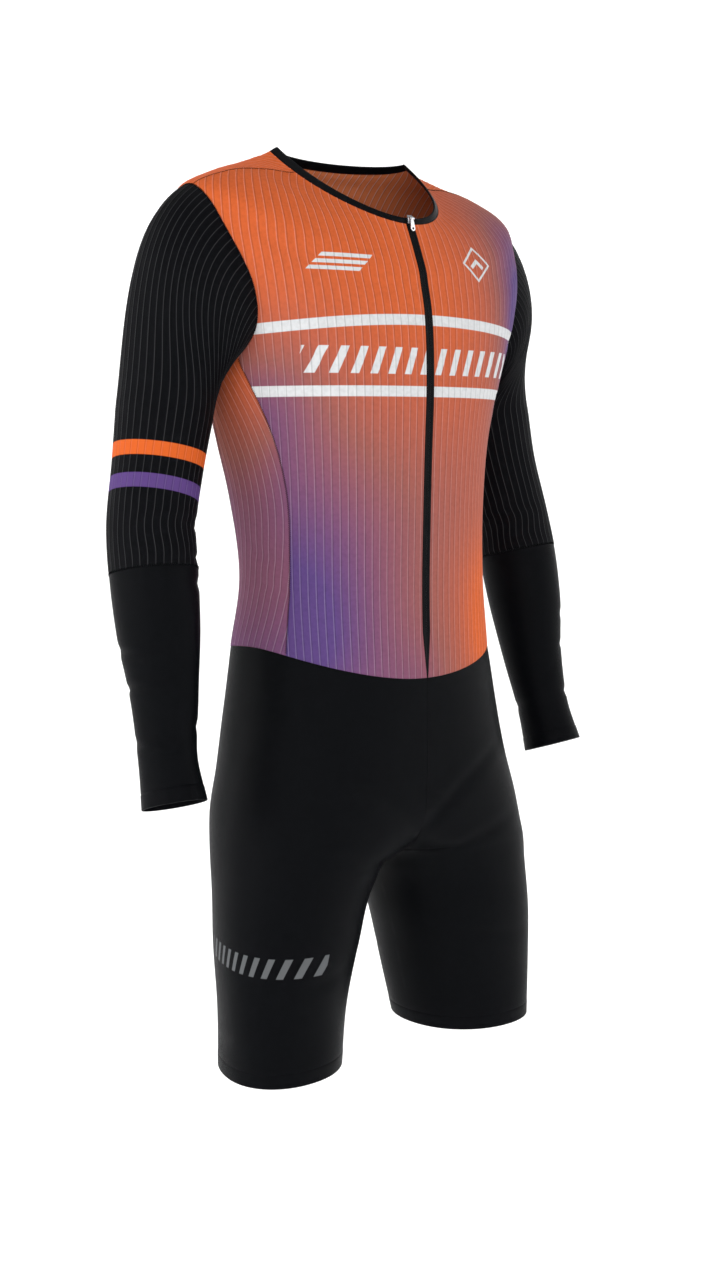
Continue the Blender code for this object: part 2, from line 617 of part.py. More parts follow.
def add_neck_binding(black):
    """The binding: a strip above the neckline, from one side of the zip round the back to the other."""
    lines = seams()
    front = lines["front_neck"][:, 0]
    angles = np.concatenate([front, lines["back_neck"][1:, 0], (2 * math.pi - front[::-1])[1:]])
    pairs = np.stack(np.meshgrid(angles, np.array([NECKLINE, BINDING_TOP])), -1)
    zip_side = torso_angle_at(zip_half_width(pairs[:, 0, 1]), pairs[:, 0, 1])
    pairs[:, 0, 0] = zip_side
    pairs[:, -1, 0] = 2 * math.pi - zip_side
    facing = normals(torso, pairs[..., 0], np.minimum(pairs[..., 1], BINDING_TOP - PROBE))
    points = torso(pairs[..., 0], pairs[..., 1])
    points = part_at_seams(points, facing, ("bottom", "left", "right"))
    wall("neck_binding", points, facing, grid_faces(*points.shape[:2]), BINDING_WALL, black)


def add_zip(black):
    """The closed zip: one strip from the waist seam to the top of the binding."""
    levels = zip_levels()
    half = zip_half_width(levels)
    angle = torso_angle_at(half, levels)
    pairs = np.stack([np.stack([-angle, 0 * angle, angle], -1), np.repeat(levels[:, None], 3, 1)], -1)
    inside = np.minimum(pairs[..., 1], BINDING_TOP - PROBE)
    facing = normals(torso, pairs[..., 0], inside)
    points = part_at_seams(torso(pairs[..., 0], pairs[..., 1]), facing, ("bottom", "left", "right"))
    wall("zip_tape", points, facing, grid_faces(*points.shape[:2]), ZIP_WALL, black)


def slider_frame():
    """The slider's frame: columns are right across the zip, up along it and out from it, then its place."""
    angle = np.zeros(1)
    level = np.full(1, SLIDER_LEVEL)
    up = unit(torso(angle, level + PROBE)[0] - torso(angle, level - PROBE)[0])
    out = normals(torso, angle, level)[0]
    frame = Matrix.Identity(4)
    for row in range(3):
        frame[row][0] = (1.0, 0.0, 0.0)[row]
        frame[row][1] = up[row]
        frame[row][2] = out[row]
        frame[row][3] = torso(angle, level)[0][row]
    return frame


def prism(name, outline, depth, material):
    """A solid of this outline in its own y and z, extruded along x by depth, half to each side."""
    half = depth / 2
    count = len(outline)
    points = np.array([(x, y, z) for x in (-half, half) for y, z in outline])
    sides = [(i, (i + 1) % count, (i + 1) % count + count, i + count) for i in range(count)]
    ends = [tuple(range(count))[::-1], tuple(range(count, 2 * count))]
    return add_object(name, points, ends + sides, material)


def circle(radius, y=0.0, z=0.0, first=0.0, last=2 * math.pi, sides=ROUND_SIDES):
    """Pairs along an arc, without its last point where the arc is a whole circle."""
    whole = last - first >= 2 * math.pi
    angles = np.linspace(first, last, sides + 1)[: sides if whole else sides + 1]
    return [(y + radius * math.cos(a), z + radius * math.sin(a)) for a in angles]


def combine(thing, other, operation):
    """An exact Boolean of the thing with another, which is then only a guide."""
    modifier = thing.modifiers.new(operation.lower(), "BOOLEAN")
    modifier.operation = operation
    modifier.solver = "EXACT"
    modifier.object = other
    other.hide_render = True
    other.display_type = "WIRE"
    other.parent = thing


def add_slider(metal):
    """The slider's body, and the two ears on it that carry the pull's bar."""
    slider = prism("zip_slider", SLIDER_SIDE, SLIDER_WIDTH, metal)
    ear_side = [(-EAR_LENGTH / 2, EAR_FOOT), (EAR_LENGTH / 2, EAR_FOOT)]
    ear_side += circle(EAR_LENGTH / 2, 0.0, BAR_OUT, 0.0, math.pi, ROUND_SIDES // 2)
    for side in (-1, 1):
        ear = prism(f"zip_slider_ear_{side}", ear_side, EAR_WIDTH, metal)
        ear.location.x = side * EAR_INSET
        combine(slider, ear, "UNION")
    bar = prism("zip_slider_bar", circle(BAR_RADIUS, 0.0, BAR_OUT), 2 * EAR_INSET, metal)
    combine(slider, bar, "UNION")
    slider.matrix_world = slider_frame()


def add_pull(metal):
    """The pull: a knuckle round the slider's bar, and a plate that hangs from it, with a hole near its end.
    Its side view is cut to its front view, and then the bore and the hole are cut out."""
    across = PULL_KNUCKLE_LENGTH / 2
    tip = PULL_WIDTH / 2
    end = PULL_LENGTH - tip
    beyond = 2 * PULL_KNUCKLE_RADIUS
    half = PULL_THICK / 2
    open_angle = math.pi - math.asin(half / PULL_KNUCKLE_RADIUS)
    side = [(-PULL_LENGTH - beyond, -half), *circle(PULL_KNUCKLE_RADIUS, first=-open_angle, last=open_angle)]
    side.append((-PULL_LENGTH - beyond, half))
    pull = prism("zip_pull", side, 2 * PULL_WIDTH, metal)

    front = [(beyond, -across), (beyond, across), (-PULL_NECK, across)]
    front += circle(tip, -end, first=math.pi / 2, last=1.5 * math.pi, sides=ROUND_SIDES // 2)
    front.append((-PULL_NECK, -across))
    facing = Matrix.Rotation(math.pi / 2, 4, "Y")
    shape = prism("zip_pull_shape", front, 2 * beyond, metal)
    eye = prism("zip_pull_eye", circle(PULL_EYE_RADIUS, -end), 2 * beyond, metal)
    bore = prism("zip_pull_bore", circle(PULL_HOLE_RADIUS), 2 * PULL_WIDTH, metal)
    shape.matrix_world = facing
    eye.matrix_world = facing
    combine(pull, shape, "INTERSECT")
    combine(pull, eye, "DIFFERENCE")
    combine(pull, bore, "DIFFERENCE")
    hinge = Matrix.Translation((0.0, 0.0, BAR_OUT))
    pull.matrix_world = slider_frame() @ hinge @ Matrix.Rotation(PULL_LEAN, 4, "X")


def plain_material(name, colour, roughness, metallic=0.0):
    """A Principled material."""
    material = bpy.data.materials.new(name)
    material.use_nodes = True
    shader = material.node_tree.nodes["Principled BSDF"]
    shader.inputs["Base Color"].default_value = (*colour, 1)
    shader.inputs["Roughness"].default_value = roughness
    shader.inputs["Metallic"].default_value = metallic
    return material


def main():
    """Clears the scene and builds every piece."""
    for thing in list(bpy.data.objects):
        bpy.data.objects.remove(thing)
    orange = plain_material("orange_cloth", CLOTH_ORANGE, 0.7)
    add_torso(orange, plain_material("mauve_cloth", CLOTH_MAUVE, 0.7))
    black = plain_material("black_cloth", CLOTH_BLACK, 0.6)
    add_sleeves(black)
    add_shorts(black)
    add_neck_binding(plain_material("black_binding", CLOTH_BLACK, 0.5))
    add_zip(plain_material("black_zip", CLOTH_BLACK, 0.5))
    metal = plain_material("bright_metal", METAL, 0.25, 1.0)
    add_slider(metal)
    add_pull(metal)


if __name__ == "__main__":
    main()
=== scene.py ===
"""The looks of a long-sleeved cycling skinsuit, hollow and filled out as worn.

The fronts, sides and back are a ribbed knit printed with a fade from orange to violet. The upper sleeves are the
same ribbed knit in black, the lower sleeves and the shorts are smooth black satin knit. A bound neckline and a full
front zip close it. Metres, +Z up; the suit faces -Y and +X is the wearer's left. Every piece lies on the surface of
its node in the frame, and is worked out on fine grids: a wall of cloth with its knit ribs, folds, seams and threads.
"""

import math

import bmesh
import bpy
import numpy as np
from bpy.props import FloatProperty, FloatVectorProperty, IntProperty, PointerProperty
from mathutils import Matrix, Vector
from mathutils.geometry import delaunay_2d_cdt


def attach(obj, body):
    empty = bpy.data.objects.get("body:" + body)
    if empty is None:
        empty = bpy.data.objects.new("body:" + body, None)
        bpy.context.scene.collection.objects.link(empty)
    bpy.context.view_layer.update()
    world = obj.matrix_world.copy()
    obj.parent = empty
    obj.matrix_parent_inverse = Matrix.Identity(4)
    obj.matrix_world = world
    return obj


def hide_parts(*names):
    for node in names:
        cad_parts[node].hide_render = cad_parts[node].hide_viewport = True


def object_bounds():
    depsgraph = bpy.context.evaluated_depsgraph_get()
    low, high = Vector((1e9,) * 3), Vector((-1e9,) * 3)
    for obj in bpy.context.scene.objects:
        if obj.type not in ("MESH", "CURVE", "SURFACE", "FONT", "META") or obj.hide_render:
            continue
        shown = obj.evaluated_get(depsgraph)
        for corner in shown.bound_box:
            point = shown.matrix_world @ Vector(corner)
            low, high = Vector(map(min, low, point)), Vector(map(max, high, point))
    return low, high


bl_info = {
    "name": "Cycling skinsuit",
    "version": (1, 0, 0),
    "blender": (4, 5, 0),
    "location": "3D View > Sidebar > Skinsuit",
    "description": "Builds the cloth, trims and stage of a long-sleeved cycling skinsuit",
    "category": "Object",
}

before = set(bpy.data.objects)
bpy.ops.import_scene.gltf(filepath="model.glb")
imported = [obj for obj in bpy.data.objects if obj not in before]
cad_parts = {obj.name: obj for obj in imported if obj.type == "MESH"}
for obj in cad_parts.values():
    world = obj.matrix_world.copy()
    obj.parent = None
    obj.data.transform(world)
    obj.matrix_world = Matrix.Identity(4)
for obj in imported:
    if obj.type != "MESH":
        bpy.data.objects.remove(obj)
CAD_BOX = [[float(value) for value in corner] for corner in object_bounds()]

GARMENT = "garment"
PULL = "pull"
SIDES = {"left": 1, "right": -1}

# ---- The suit's own surface, as sections and seams -----------------------------------------------------------------
TORSO_COLUMNS = (
    "level", "half_width", "front_y", "side_y", "back_y", "front_z", "side_z", "back_z", "front_square",
    "back_square", "flare", "crest",
)
TORSO_SECTIONS = {
    "waist_seam": (0.000, 0.140, -0.103, -0.004, 0.092, -0.506, -0.474, -0.492, 2.4, 2.4, 0.033, 2.0),
    "waist": (0.080, 0.132, -0.100, -0.004, 0.083, -0.425, -0.405, -0.415, 2.4, 2.4, 0.020, 2.0),
    "lower_ribs": (0.155, 0.136, -0.101, -0.004, 0.091, -0.350, -0.332, -0.340, 2.4, 2.4, 0.080, 2.0),
    "upper_ribs": (0.225, 0.148, -0.103, -0.003, 0.102, -0.282, -0.262, -0.268, 2.4, 2.4, 0.120, 2.0),
    "under_arm": (0.280, 0.163, -0.105, 0.002, 0.107, -0.230, -0.204, -0.210, 2.4, 2.4, 0.070, 2.0),
    "chest": (0.345, 0.181, -0.104, 0.010, 0.110, -0.180, -0.142, -0.150, 2.5, 2.5, 0.020, 2.0),
    "shoulder_blade": (0.395, 0.191, -0.101, 0.019, 0.110, -0.150, -0.094, -0.110, 2.5, 2.4, 0.000, 1.8),
    "shoulder": (0.440, 0.194, -0.096, 0.026, 0.104, -0.127, -0.049, -0.068, 2.4, 2.3, 0.000, 1.6),
    "outer_shoulder": (0.460, 0.189, -0.094, 0.028, 0.100, -0.117, -0.038, -0.055, 2.4, 2.3, 0.000, 1.9),
    "mid_shoulder": (0.500, 0.154, -0.087, 0.030, 0.089, -0.098, -0.0205, -0.035, 2.3, 2.2, 0.000, 1.9),
    "neck_base": (0.540, 0.118, -0.080, 0.031, 0.075, -0.081, -0.0085, -0.014, 2.2, 2.1, 0.000, 1.4),
    "neckline": (0.570, 0.089, -0.075, 0.030, 0.062, -0.069, 0.0035, -0.003, 2.1, 2.0, 0.000, 1.0),
    "binding_top": (0.580, 0.082, -0.073, 0.027, 0.055, -0.063, 0.008, 0.004, 2.1, 1.9, 0.000, 1.0),
}
SEAM_COLUMNS = ("level", "angle")
PRINCESS_SEAM = {
    "waist": (0.000, 66.0),
    "belly": (0.100, 67.0),
    "ribs": (0.170, 69.0),
    "upper_ribs": (0.225, 75.0),
    "under_arm": (0.280, 84.0),
}
SIDE_BACK_SEAM = {
    "waist": (0.000, 122.0),
    "loin": (0.110, 121.0),
    "ribs": (0.200, 119.0),
    "under_arm": (0.280, 116.0),
}
ARMHOLE_COLUMNS = ("turn", "angle", "level")
ARMHOLE = {
    "shoulder_seam": (0.03, 85.0, 0.460),
    "front_top": (0.10, 71.0, 0.442),
    "front_middle": (0.18, 61.5, 0.400),
    "front_low": (0.26, 59.5, 0.360),
    "front_bend": (0.34, 65.0, 0.318),
    "princess_seam": (0.42, 80.0, 0.288),
    "under_arm": (0.50, 98.0, 0.282),
    "side_back_seam": (0.58, 114.0, 0.292),
    "back_low": (0.68, 123.0, 0.330),
    "back_middle": (0.79, 123.0, 0.385),
    "back_top": (0.90, 109.0, 0.440),
}
SHOULDER_TURN = ARMHOLE["shoulder_seam"][0]
PRINCESS_TURN = ARMHOLE["princess_seam"][0]
SIDE_BACK_TURN = ARMHOLE["side_back_seam"][0]
SHOULDER_SEAM_NECK_ANGLE = math.radians(71.0)
NECKLINE = TORSO_SECTIONS["neckline"][0]
BINDING_TOP = TORSO_SECTIONS["binding_top"][0]

ARM_COLUMNS = ("along", "centre_x", "centre_y", "centre_z", "half_width", "half_depth")
ARM_SECTIONS = {
    "under_cap": (0.00, 0.2110, 0.036, -0.250, 0.0450, 0.048),
    "biceps": (0.05, 0.2220, 0.032, -0.300, 0.0420, 0.045),
    "above_elbow": (0.11, 0.2360, 0.023, -0.360, 0.0410, 0.043),
    "elbow": (0.15, 0.2395, 0.014, -0.400, 0.0410, 0.043),
    "forearm": (0.20, 0.2420, 0.004, -0.450, 0.0385, 0.041),
    "lower_forearm": (0.27, 0.2440, -0.008, -0.515, 0.0310, 0.033),
    "wrist": (0.32, 0.2490, -0.020, -0.570, 0.0270, 0.029),
    "cuff_edge": (0.36, 0.2510, -0.033, -0.610, 0.0300, 0.032),
}
CUFF = ARM_SECTIONS["cuff_edge"][0]
SLEEVE_SEAM_ALONG = 0.147
CAP_LENGTH = 0.16
CAP_TOP_LENGTH = 0.23
CAP_UNDER_LENGTH = 0.05
CAP_FORWARD = 0.05
CAP_WAYS = {
    "outer": (0.84, 0.00, -0.54),
    "front": (0.74, -0.10, -0.66),
    "inner": (0.75, 0.00, -0.66),
    "back": (0.75, 0.20, -0.63),
}

LEG_COLUMNS = ("z", "inner_x", "outer_x", "front_y", "back_y", "square", "flare")
LEG_SECTIONS = {
    "hip_bone": (-0.540, -0.128, 0.149, -0.103, 0.101, 2.4, -0.02),
    "seat": (-0.600, -0.098, 0.161, -0.102, 0.106, 2.3, -0.08),
    "upper_crotch": (-0.645, -0.058, 0.171, -0.101, 0.104, 2.3, -0.10),
    "low_crotch": (-0.675, -0.020, 0.176, -0.099, 0.096, 2.2, -0.11),
    "crotch": (-0.690, 0.000, 0.178, -0.097, 0.089, 2.2, -0.11),
    "upper_thigh": (-0.715, 0.016, 0.181, -0.095, 0.081, 2.1, -0.11),
    "thigh": (-0.770, 0.034, 0.185, -0.092, 0.071, 2.1, -0.12),
    "lower_thigh": (-0.830, 0.048, 0.185, -0.087, 0.061, 2.1, -0.13),
    "hem": (-0.890, 0.058, 0.186, -0.087, 0.051, 2.1, -0.09),
}
WAIST_TILT_FADE = 0.09
CROTCH_FILL_REACH = 0.022
CROTCH_FILL_STEEPNESS = 1.5
ZIP_WIDTH = 0.010
ZIP_TIP_WIDTH = 0.0016
ZIP_TAPER = 0.045

SEAM_GAP = 0.0003
PROBE = 1e-4
MIRROR = np.array([-1.0, 1.0, 1.0])

# ---- Knit ribs: how far apart they lie, and how they run -----------------------------------------------------------
FRONT_RIB_COLUMNS = ("level", "pitch")
FRONT_RIBS = {
    "waist": (0.00, 0.0079),
    "ribs": (0.20, 0.0081),
    "chest": (0.33, 0.0089),
    "collar_bone": (0.45, 0.0096),
    "neckline": (0.58, 0.0099),
}
# How far behind the princess seam the side panel's first rib lies.
SIDE_RIB_COLUMNS = ("level", "lean")
SIDE_RIB_LEAN = {
    "waist": (0.000, 13.0),
    "belly": (0.045, 8.0),
    "loin": (0.095, 4.4),
    "lower_ribs": (0.140, 2.6),
    "ribs": (0.190, 2.2),
    "under_arm": (0.280, 5.0),
}
SIDE_RIB_PITCH = 0.0088
BACK_RIB_PITCH = 0.0080
RIB_UNIT = 0.008
RIB_COLUMNS = np.array([-0.11, -0.055, 0.0, 0.055, 0.11, 0.30, 0.50, 0.70])
ROW_SQUEEZE = 0.25
CLEAR_OF_EDGE = 0.00035

# ---- Folds: each runs along a bowed line, is this wide and this deep (below zero is a trough) -----------------------
# On the torso the places are (angle in degrees, + left of the wearer; level).
FOLD_COLUMNS = ("start_across", "start_along", "end_across", "end_along", "width", "depth", "bow")
TORSO_FOLDS = {
    "right_armpit_upper": (-64.0, 0.345, -38.0, 0.292, 0.0080, -0.0016, 0.10),
    "right_armpit_lower": (-76.0, 0.292, -50.0, 0.246, 0.0070, -0.0014, 0.12),
    "left_armpit_upper": (66.0, 0.338, 42.0, 0.296, 0.0085, -0.0014, -0.10),
    "left_armpit_lower": (78.0, 0.288, 47.0, 0.236, 0.0075, -0.0016, -0.12),
    "right_waist_upper": (-104.0, 0.118, -70.0, 0.098, 0.0090, -0.0013, -0.08),
    "right_waist_lower": (-98.0, 0.070, -58.0, 0.060, 0.0080, -0.0012, 0.06),
    "left_waist_upper": (100.0, 0.106, 66.0, 0.094, 0.0090, -0.0012, 0.08),
    "left_waist_lower": (106.0, 0.074, 62.0, 0.056, 0.0085, -0.0014, -0.05),
    "right_back_armpit": (-130.0, 0.322, -156.0, 0.262, 0.0085, -0.0017, -0.12),
    "right_back_armpit_lower": (-122.0, 0.285, -146.0, 0.230, 0.0075, -0.0014, -0.10),
    "left_back_armpit": (128.0, 0.328, 152.0, 0.270, 0.0085, -0.0016, 0.12),
    "left_back_armpit_lower": (124.0, 0.280, 149.0, 0.222, 0.0080, -0.0014, 0.10),
    "hollow_of_back_upper": (150.0, 0.128, 204.0, 0.116, 0.0090, -0.0015, 0.06),
    "hollow_of_back_middle": (158.0, 0.092, 214.0, 0.084, 0.0095, -0.0018, -0.05),
    "hollow_of_back_lower": (146.0, 0.060, 190.0, 0.052, 0.0080, -0.0012, 0.05),
    "right_shoulder": (-58.0, 0.452, -34.0, 0.420, 0.0090, -0.0010, -0.10),
    "left_shoulder": (60.0, 0.446, 36.0, 0.408, 0.0090, -0.0011, 0.10),
}
# On a sleeve they are (share of a turn; distance along), and on a leg (share round; drop).
SLEEVE_FOLDS = {
    "armpit_front": (0.34, -0.118, 0.45, -0.050, 0.0065, -0.0018, 0.10),
    "armpit_back": (0.66, -0.112, 0.56, -0.046, 0.0065, -0.0017, -0.10),
    "cap_front": (0.20, -0.130, 0.33, -0.070, 0.0075, -0.0012, 0.10),
    "above_elbow": (0.27, 0.082, 0.53, 0.094, 0.0060, -0.0013, 0.08),
    "crook_upper": (0.24, 0.104, 0.56, 0.114, 0.0058, -0.0020, -0.07),
    "crook_lower": (0.27, 0.128, 0.52, 0.133, 0.0055, -0.0022, 0.07),
    "crook_last": (0.22, 0.156, 0.50, 0.150, 0.0060, -0.0016, 0.06),
    "elbow_back": (0.60, 0.122, 0.90, 0.112, 0.0070, -0.0012, 0.08),
    "forearm": (0.80, 0.205, 1.20, 0.222, 0.0065, -0.0018, 0.06),
    "wrist_upper": (0.80, 0.256, 1.20, 0.264, 0.0050, -0.0024, -0.06),
    "wrist_front": (0.24, 0.280, 0.52, 0.290, 0.0055, -0.0013, 0.06),
    "wrist_lower": (0.84, 0.296, 1.24, 0.306, 0.0048, -0.0023, 0.06),
    "wrist_last": (0.46, 0.312, 0.74, 0.322, 0.0050, -0.0012, -0.06),
}
LEG_FOLDS = {
    "groin": (-0.03, 0.212, 0.24, 0.106, 0.0080, -0.0017, -0.12),
    "groin_lower": (0.03, 0.232, 0.22, 0.186, 0.0080, -0.0015, -0.10),
    "hip": (0.30, 0.040, 0.50, 0.058, 0.0090, -0.0010, 0.08),
    "seat": (1.02, 0.222, 0.80, 0.246, 0.0085, -0.0022, 0.10),
    "seat_upper": (0.99, 0.196, 0.84, 0.214, 0.0075, -0.0013, 0.08),
    "thigh_front": (0.06, 0.300, 0.22, 0.318, 0.0090, -0.0010, 0.06),
    "hem_outer": (0.40, 0.366, 0.64, 0.378, 0.0075, -0.0011, 0.06),
    "hem_back": (0.74, 0.352, 0.94, 0.340, 0.0075, -0.0012, -0.06),
}
TORSO_RADIUS = 0.13
SLEEVE_ROUND = 0.27
LEG_ROUND = 0.42
FOLD_FADE = 0.03
FOLD_SHOULDER = 0.6


# ---- Reading the tables --------------------------------------------------------------------------------------------
def column(names, rows, name):
    """One named column of a table, as an array."""
    return np.array([row[names.index(name)] for row in rows.values()], float)


def follow(knots, values, at):
    """A smooth curve through (knots, values): cubic between knots, its slope there from the neighbours."""
    slopes = np.gradient(values, knots)
    at = np.clip(at, knots[0], knots[-1])
    span = np.clip(np.searchsorted(knots, at, side="right") - 1, 0, len(knots) - 2)
    width = knots[span + 1] - knots[span]
    t = (at - knots[span]) / width
    return (
        (1 + 2 * t) * (1 - t) ** 2 * values[span]
        + t * (1 - t) ** 2 * width * slopes[span]
        + t * t * (3 - 2 * t) * values[span + 1]
        + t * t * (t - 1) * width * slopes[span + 1]
    )


def unit(vectors):
    """The vectors at length one."""
    return vectors / np.linalg.norm(vectors, axis=-1, keepdims=True)


def smooth(share):
    """A soft step from 0 to 1: 3t^2 - 2t^3."""
    t = np.clip(share, 0, 1)
    return t * t * (3 - 2 * t)


# ---- Surfaces ------------------------------------------------------------------------------------------------------
def superellipse(angle, square):
    """The distance from the middle to a superellipse of half sizes one, in the direction of the angle."""
    return (np.abs(np.sin(angle)) ** square + np.abs(np.cos(angle)) ** square) ** (-1 / square)


def torso(angle, level):
    """Torso surface. x is half_width times the sine of the angle on a superellipse, less its flare. y runs from
    side_y to front_y or back_y with the cosine. z runs from side_z to front_z or back_z with a power of it."""
    knots = column(TORSO_COLUMNS, TORSO_SECTIONS, "level")
    at = {name: follow(knots, column(TORSO_COLUMNS, TORSO_SECTIONS, name), level) for name in TORSO_COLUMNS}
    front = np.cos(angle) > 0
    distance = superellipse(angle, np.where(front, at["front_square"], at["back_square"]))
    reach = np.where(front, at["side_y"] - at["front_y"], at["back_y"] - at["side_y"])
    rise = np.where(front, at["front_z"], at["back_z"]) - at["side_z"]
    x = at["half_width"] * np.sin(angle) * distance * (1 - at["flare"] * np.cos(angle) * distance)
    y = at["side_y"] - reach * np.cos(angle) * distance
    z = at["side_z"] + rise * np.abs(np.cos(angle)) ** at["crest"]
    return np.stack(np.broadcast_arrays(x, y, z), -1)


def arm_rows(along):
    """The arm's columns by name, at these places along the arm."""
    knots = column(ARM_COLUMNS, ARM_SECTIONS, "along")
    return {name: follow(knots, column(ARM_COLUMNS, ARM_SECTIONS, name), along) for name in ARM_COLUMNS}


def arm_centre(along):
    """The arm's centre line."""
    at = arm_rows(along)
    return np.stack([at["centre_x"], at["centre_y"], at["centre_z"]], -1)


def arm(turn, along):
    """Arm surface: an ellipse square to the centre line. turn runs from 0 outside, over the front and inside, to 1."""
    at = arm_rows(along)
    down = unit(arm_centre(np.clip(along + 0.01, 0, CUFF)) - arm_centre(np.clip(along - 0.01, 0, CUFF)))
    outwards = unit(np.array([1.0, 0, 0]) - down[..., :1] * down)
    forwards = np.cross(down, outwards)
    across = (at["half_width"] * np.cos(2 * math.pi * turn))[..., None] * outwards
    return arm_centre(along) + across + (at["half_depth"] * np.sin(2 * math.pi * turn))[..., None] * forwards


def armhole(turn):
    """(angle, level) of the armhole on the torso: a closed smooth curve through the table's rows."""
    knots = column(ARMHOLE_COLUMNS, ARMHOLE, "turn")
    knots = np.concatenate([knots[-2:] - 1, knots, knots[:3] + 1])
    at = knots[2] + np.mod(turn - knots[2], 1)
    values = [column(ARMHOLE_COLUMNS, ARMHOLE, name) for name in ("angle", "level")]
    angle, level = (follow(knots, np.concatenate([v[-2:], v, v[:3]]), at) for v in values)
    return np.radians(angle), level


def sleeve(turn, along):
    """Sleeve surface. Below zero, along runs back over the cap to the armhole: there a cubic curve leaves the torso
    outwards and down, and meets the arm's first section going down it."""
    edge = torso(*armhole(turn))
    quarter = 2 * math.pi * turn
    shares = np.stack([np.cos(quarter), np.sin(quarter), -np.cos(quarter), -np.sin(quarter)], -1)
    leave = unit(np.maximum(shares, 0) ** 2 @ np.array(list(CAP_WAYS.values())))
    top = 0.5 + 0.5 * np.cos(2 * math.pi * (turn - CAP_FORWARD))
    length = CAP_UNDER_LENGTH + (CAP_TOP_LENGTH - CAP_UNDER_LENGTH) * top
    zero = np.zeros_like(along)
    down = unit(arm_centre(zero + 0.01) - arm_centre(zero))
    t = np.clip(1 + along / CAP_LENGTH, 0, 1)[..., None]
    stretch = length[..., None]
    cap = (
        (1 + 2 * t) * (1 - t) ** 2 * edge
        + t * (1 - t) ** 2 * stretch * leave
        + t * t * (3 - 2 * t) * arm(turn, zero)
        + t * t * (t - 1) * stretch * down
    )
    return np.where(along[..., None] < 0, cap, arm(turn, np.maximum(along, 0)))


def leg_rows():
    """The leg's columns by name, with the waist seam's own row put first so that shorts and torso meet."""
    waist = TORSO_SECTIONS["waist_seam"]
    names = ("side_z", "half_width", "half_width", "front_y", "back_y", "front_square", "flare")
    first = [waist[TORSO_COLUMNS.index(name)] for name in names]
    first[1] = -first[1]
    rows = {"waist_seam": first, **LEG_SECTIONS}
    return {name: column(LEG_COLUMNS, rows, name) for name in LEG_COLUMNS}


def leg(drop, share):
    """Leg surface: superellipse sections below the waist seam. share runs from 0 at the front of the middle plane,
    round the outer side, to 1 at its back. Where the legs run into each other the section stops at the middle
    plane, and a soft fill keeps it from forming a cleft there."""
    rows = leg_rows()
    knots = rows["z"][0] - rows["z"]
    at = {name: follow(knots, rows[name], drop) for name in LEG_COLUMNS}
    half = (at["outer_x"] - at["inner_x"]) / 2
    centre_x = (at["outer_x"] + at["inner_x"]) / 2
    waist = TORSO_SECTIONS["waist_seam"][TORSO_COLUMNS.index("side_y")]
    fade = np.clip(drop / WAIST_TILT_FADE, 0, 1)
    side_y = waist * (1 - fade) + (at["front_y"] + at["back_y"]) / 2 * fade
    cut = np.clip(centre_x / half, 0, 1)
    inner = (1 - cut ** at["square"]) ** (1 / at["square"])
    first = -np.arctan2(cut, inner)
    angle = math.pi * share + first * (1 - 2 * share) ** 3
    front = np.cos(angle) > 0
    distance = superellipse(angle, at["square"])
    reach = np.where(front, side_y - at["front_y"], at["back_y"] - side_y)
    x = (centre_x + half * np.sin(angle) * distance) * (1 - at["flare"] * np.cos(angle) * distance)
    y = side_y - reach * np.cos(angle) * distance
    steep = reach / half * cut ** (at["square"] - 1) / np.maximum(inner, 1e-3) ** (at["square"] - 1)
    fill = CROTCH_FILL_REACH * steep / (1 + (steep / CROTCH_FILL_STEEPNESS) ** 2)
    y = y + np.where(front, -1, 1) * fill * np.exp(-np.maximum(x, 0) / CROTCH_FILL_REACH)
    tilt = {name: TORSO_SECTIONS["waist_seam"][TORSO_COLUMNS.index(name)] for name in TORSO_COLUMNS[5:8]}
    rise = np.where(front, tilt["front_z"], tilt["back_z"]) - tilt["side_z"]
    z = tilt["side_z"] - drop + rise * np.cos(angle) ** 2 * (1 - fade) ** 2
    return np.stack(np.broadcast_arrays(x, y, z), -1)


def normals(surface, first, second):
    """Unit normals of a surface: its change with the first parameter, crossed with its change with the second."""
    one = surface(first + PROBE, second) - surface(first - PROBE, second)
    other = surface(first, second + PROBE) - surface(first, second - PROBE)
    return unit(np.cross(one, other))


# ---- Distances round the torso and the arm, read from tables of their sections -------------------------------------
ARC_LEVELS = np.linspace(0, BINDING_TOP, 291)
ARC_ANGLES = np.linspace(0, math.pi, 541)
ARC_ALONGS = np.linspace(-CAP_LENGTH, CUFF, 261)
ARC_TURNS = np.linspace(-0.5, 0.5, 361)


def measured_arcs(surface, across, along):
    """The distance round each section from its first place, summed over small steps."""
    steps = np.linalg.norm(np.diff(surface(*np.meshgrid(across, along)), axis=1), axis=-1)
    return np.pad(np.cumsum(steps, axis=1), ((0, 0), (1, 0)))


TORSO_ARCS = measured_arcs(torso, ARC_ANGLES, ARC_LEVELS)
SLEEVE_ARCS = measured_arcs(sleeve, ARC_TURNS, ARC_ALONGS)


def between(table, across, along, at_across, at_along):
    """The table's value at each place, straight between its rows and columns, which are evenly spaced."""
    place = (at_across - across[0]) / (across[-1] - across[0]) * (len(across) - 1)
    row = (at_along - along[0]) / (along[-1] - along[0]) * (len(along) - 1)
    place, row = np.clip(place, 0, len(across) - 1.001), np.clip(row, 0, len(along) - 1.001)
    i, j = row.astype(int), place.astype(int)
    up, on = row - i, place - j
    lower = table[i, j] * (1 - on) + table[i, j + 1] * on
    upper = table[i + 1, j] * (1 - on) + table[i + 1, j + 1] * on
    return lower * (1 - up) + upper * up


def arc(angle, level):
    """The distance round the torso from the front's middle to this angle."""
    return between(TORSO_ARCS, ARC_ANGLES, ARC_LEVELS, angle, level)


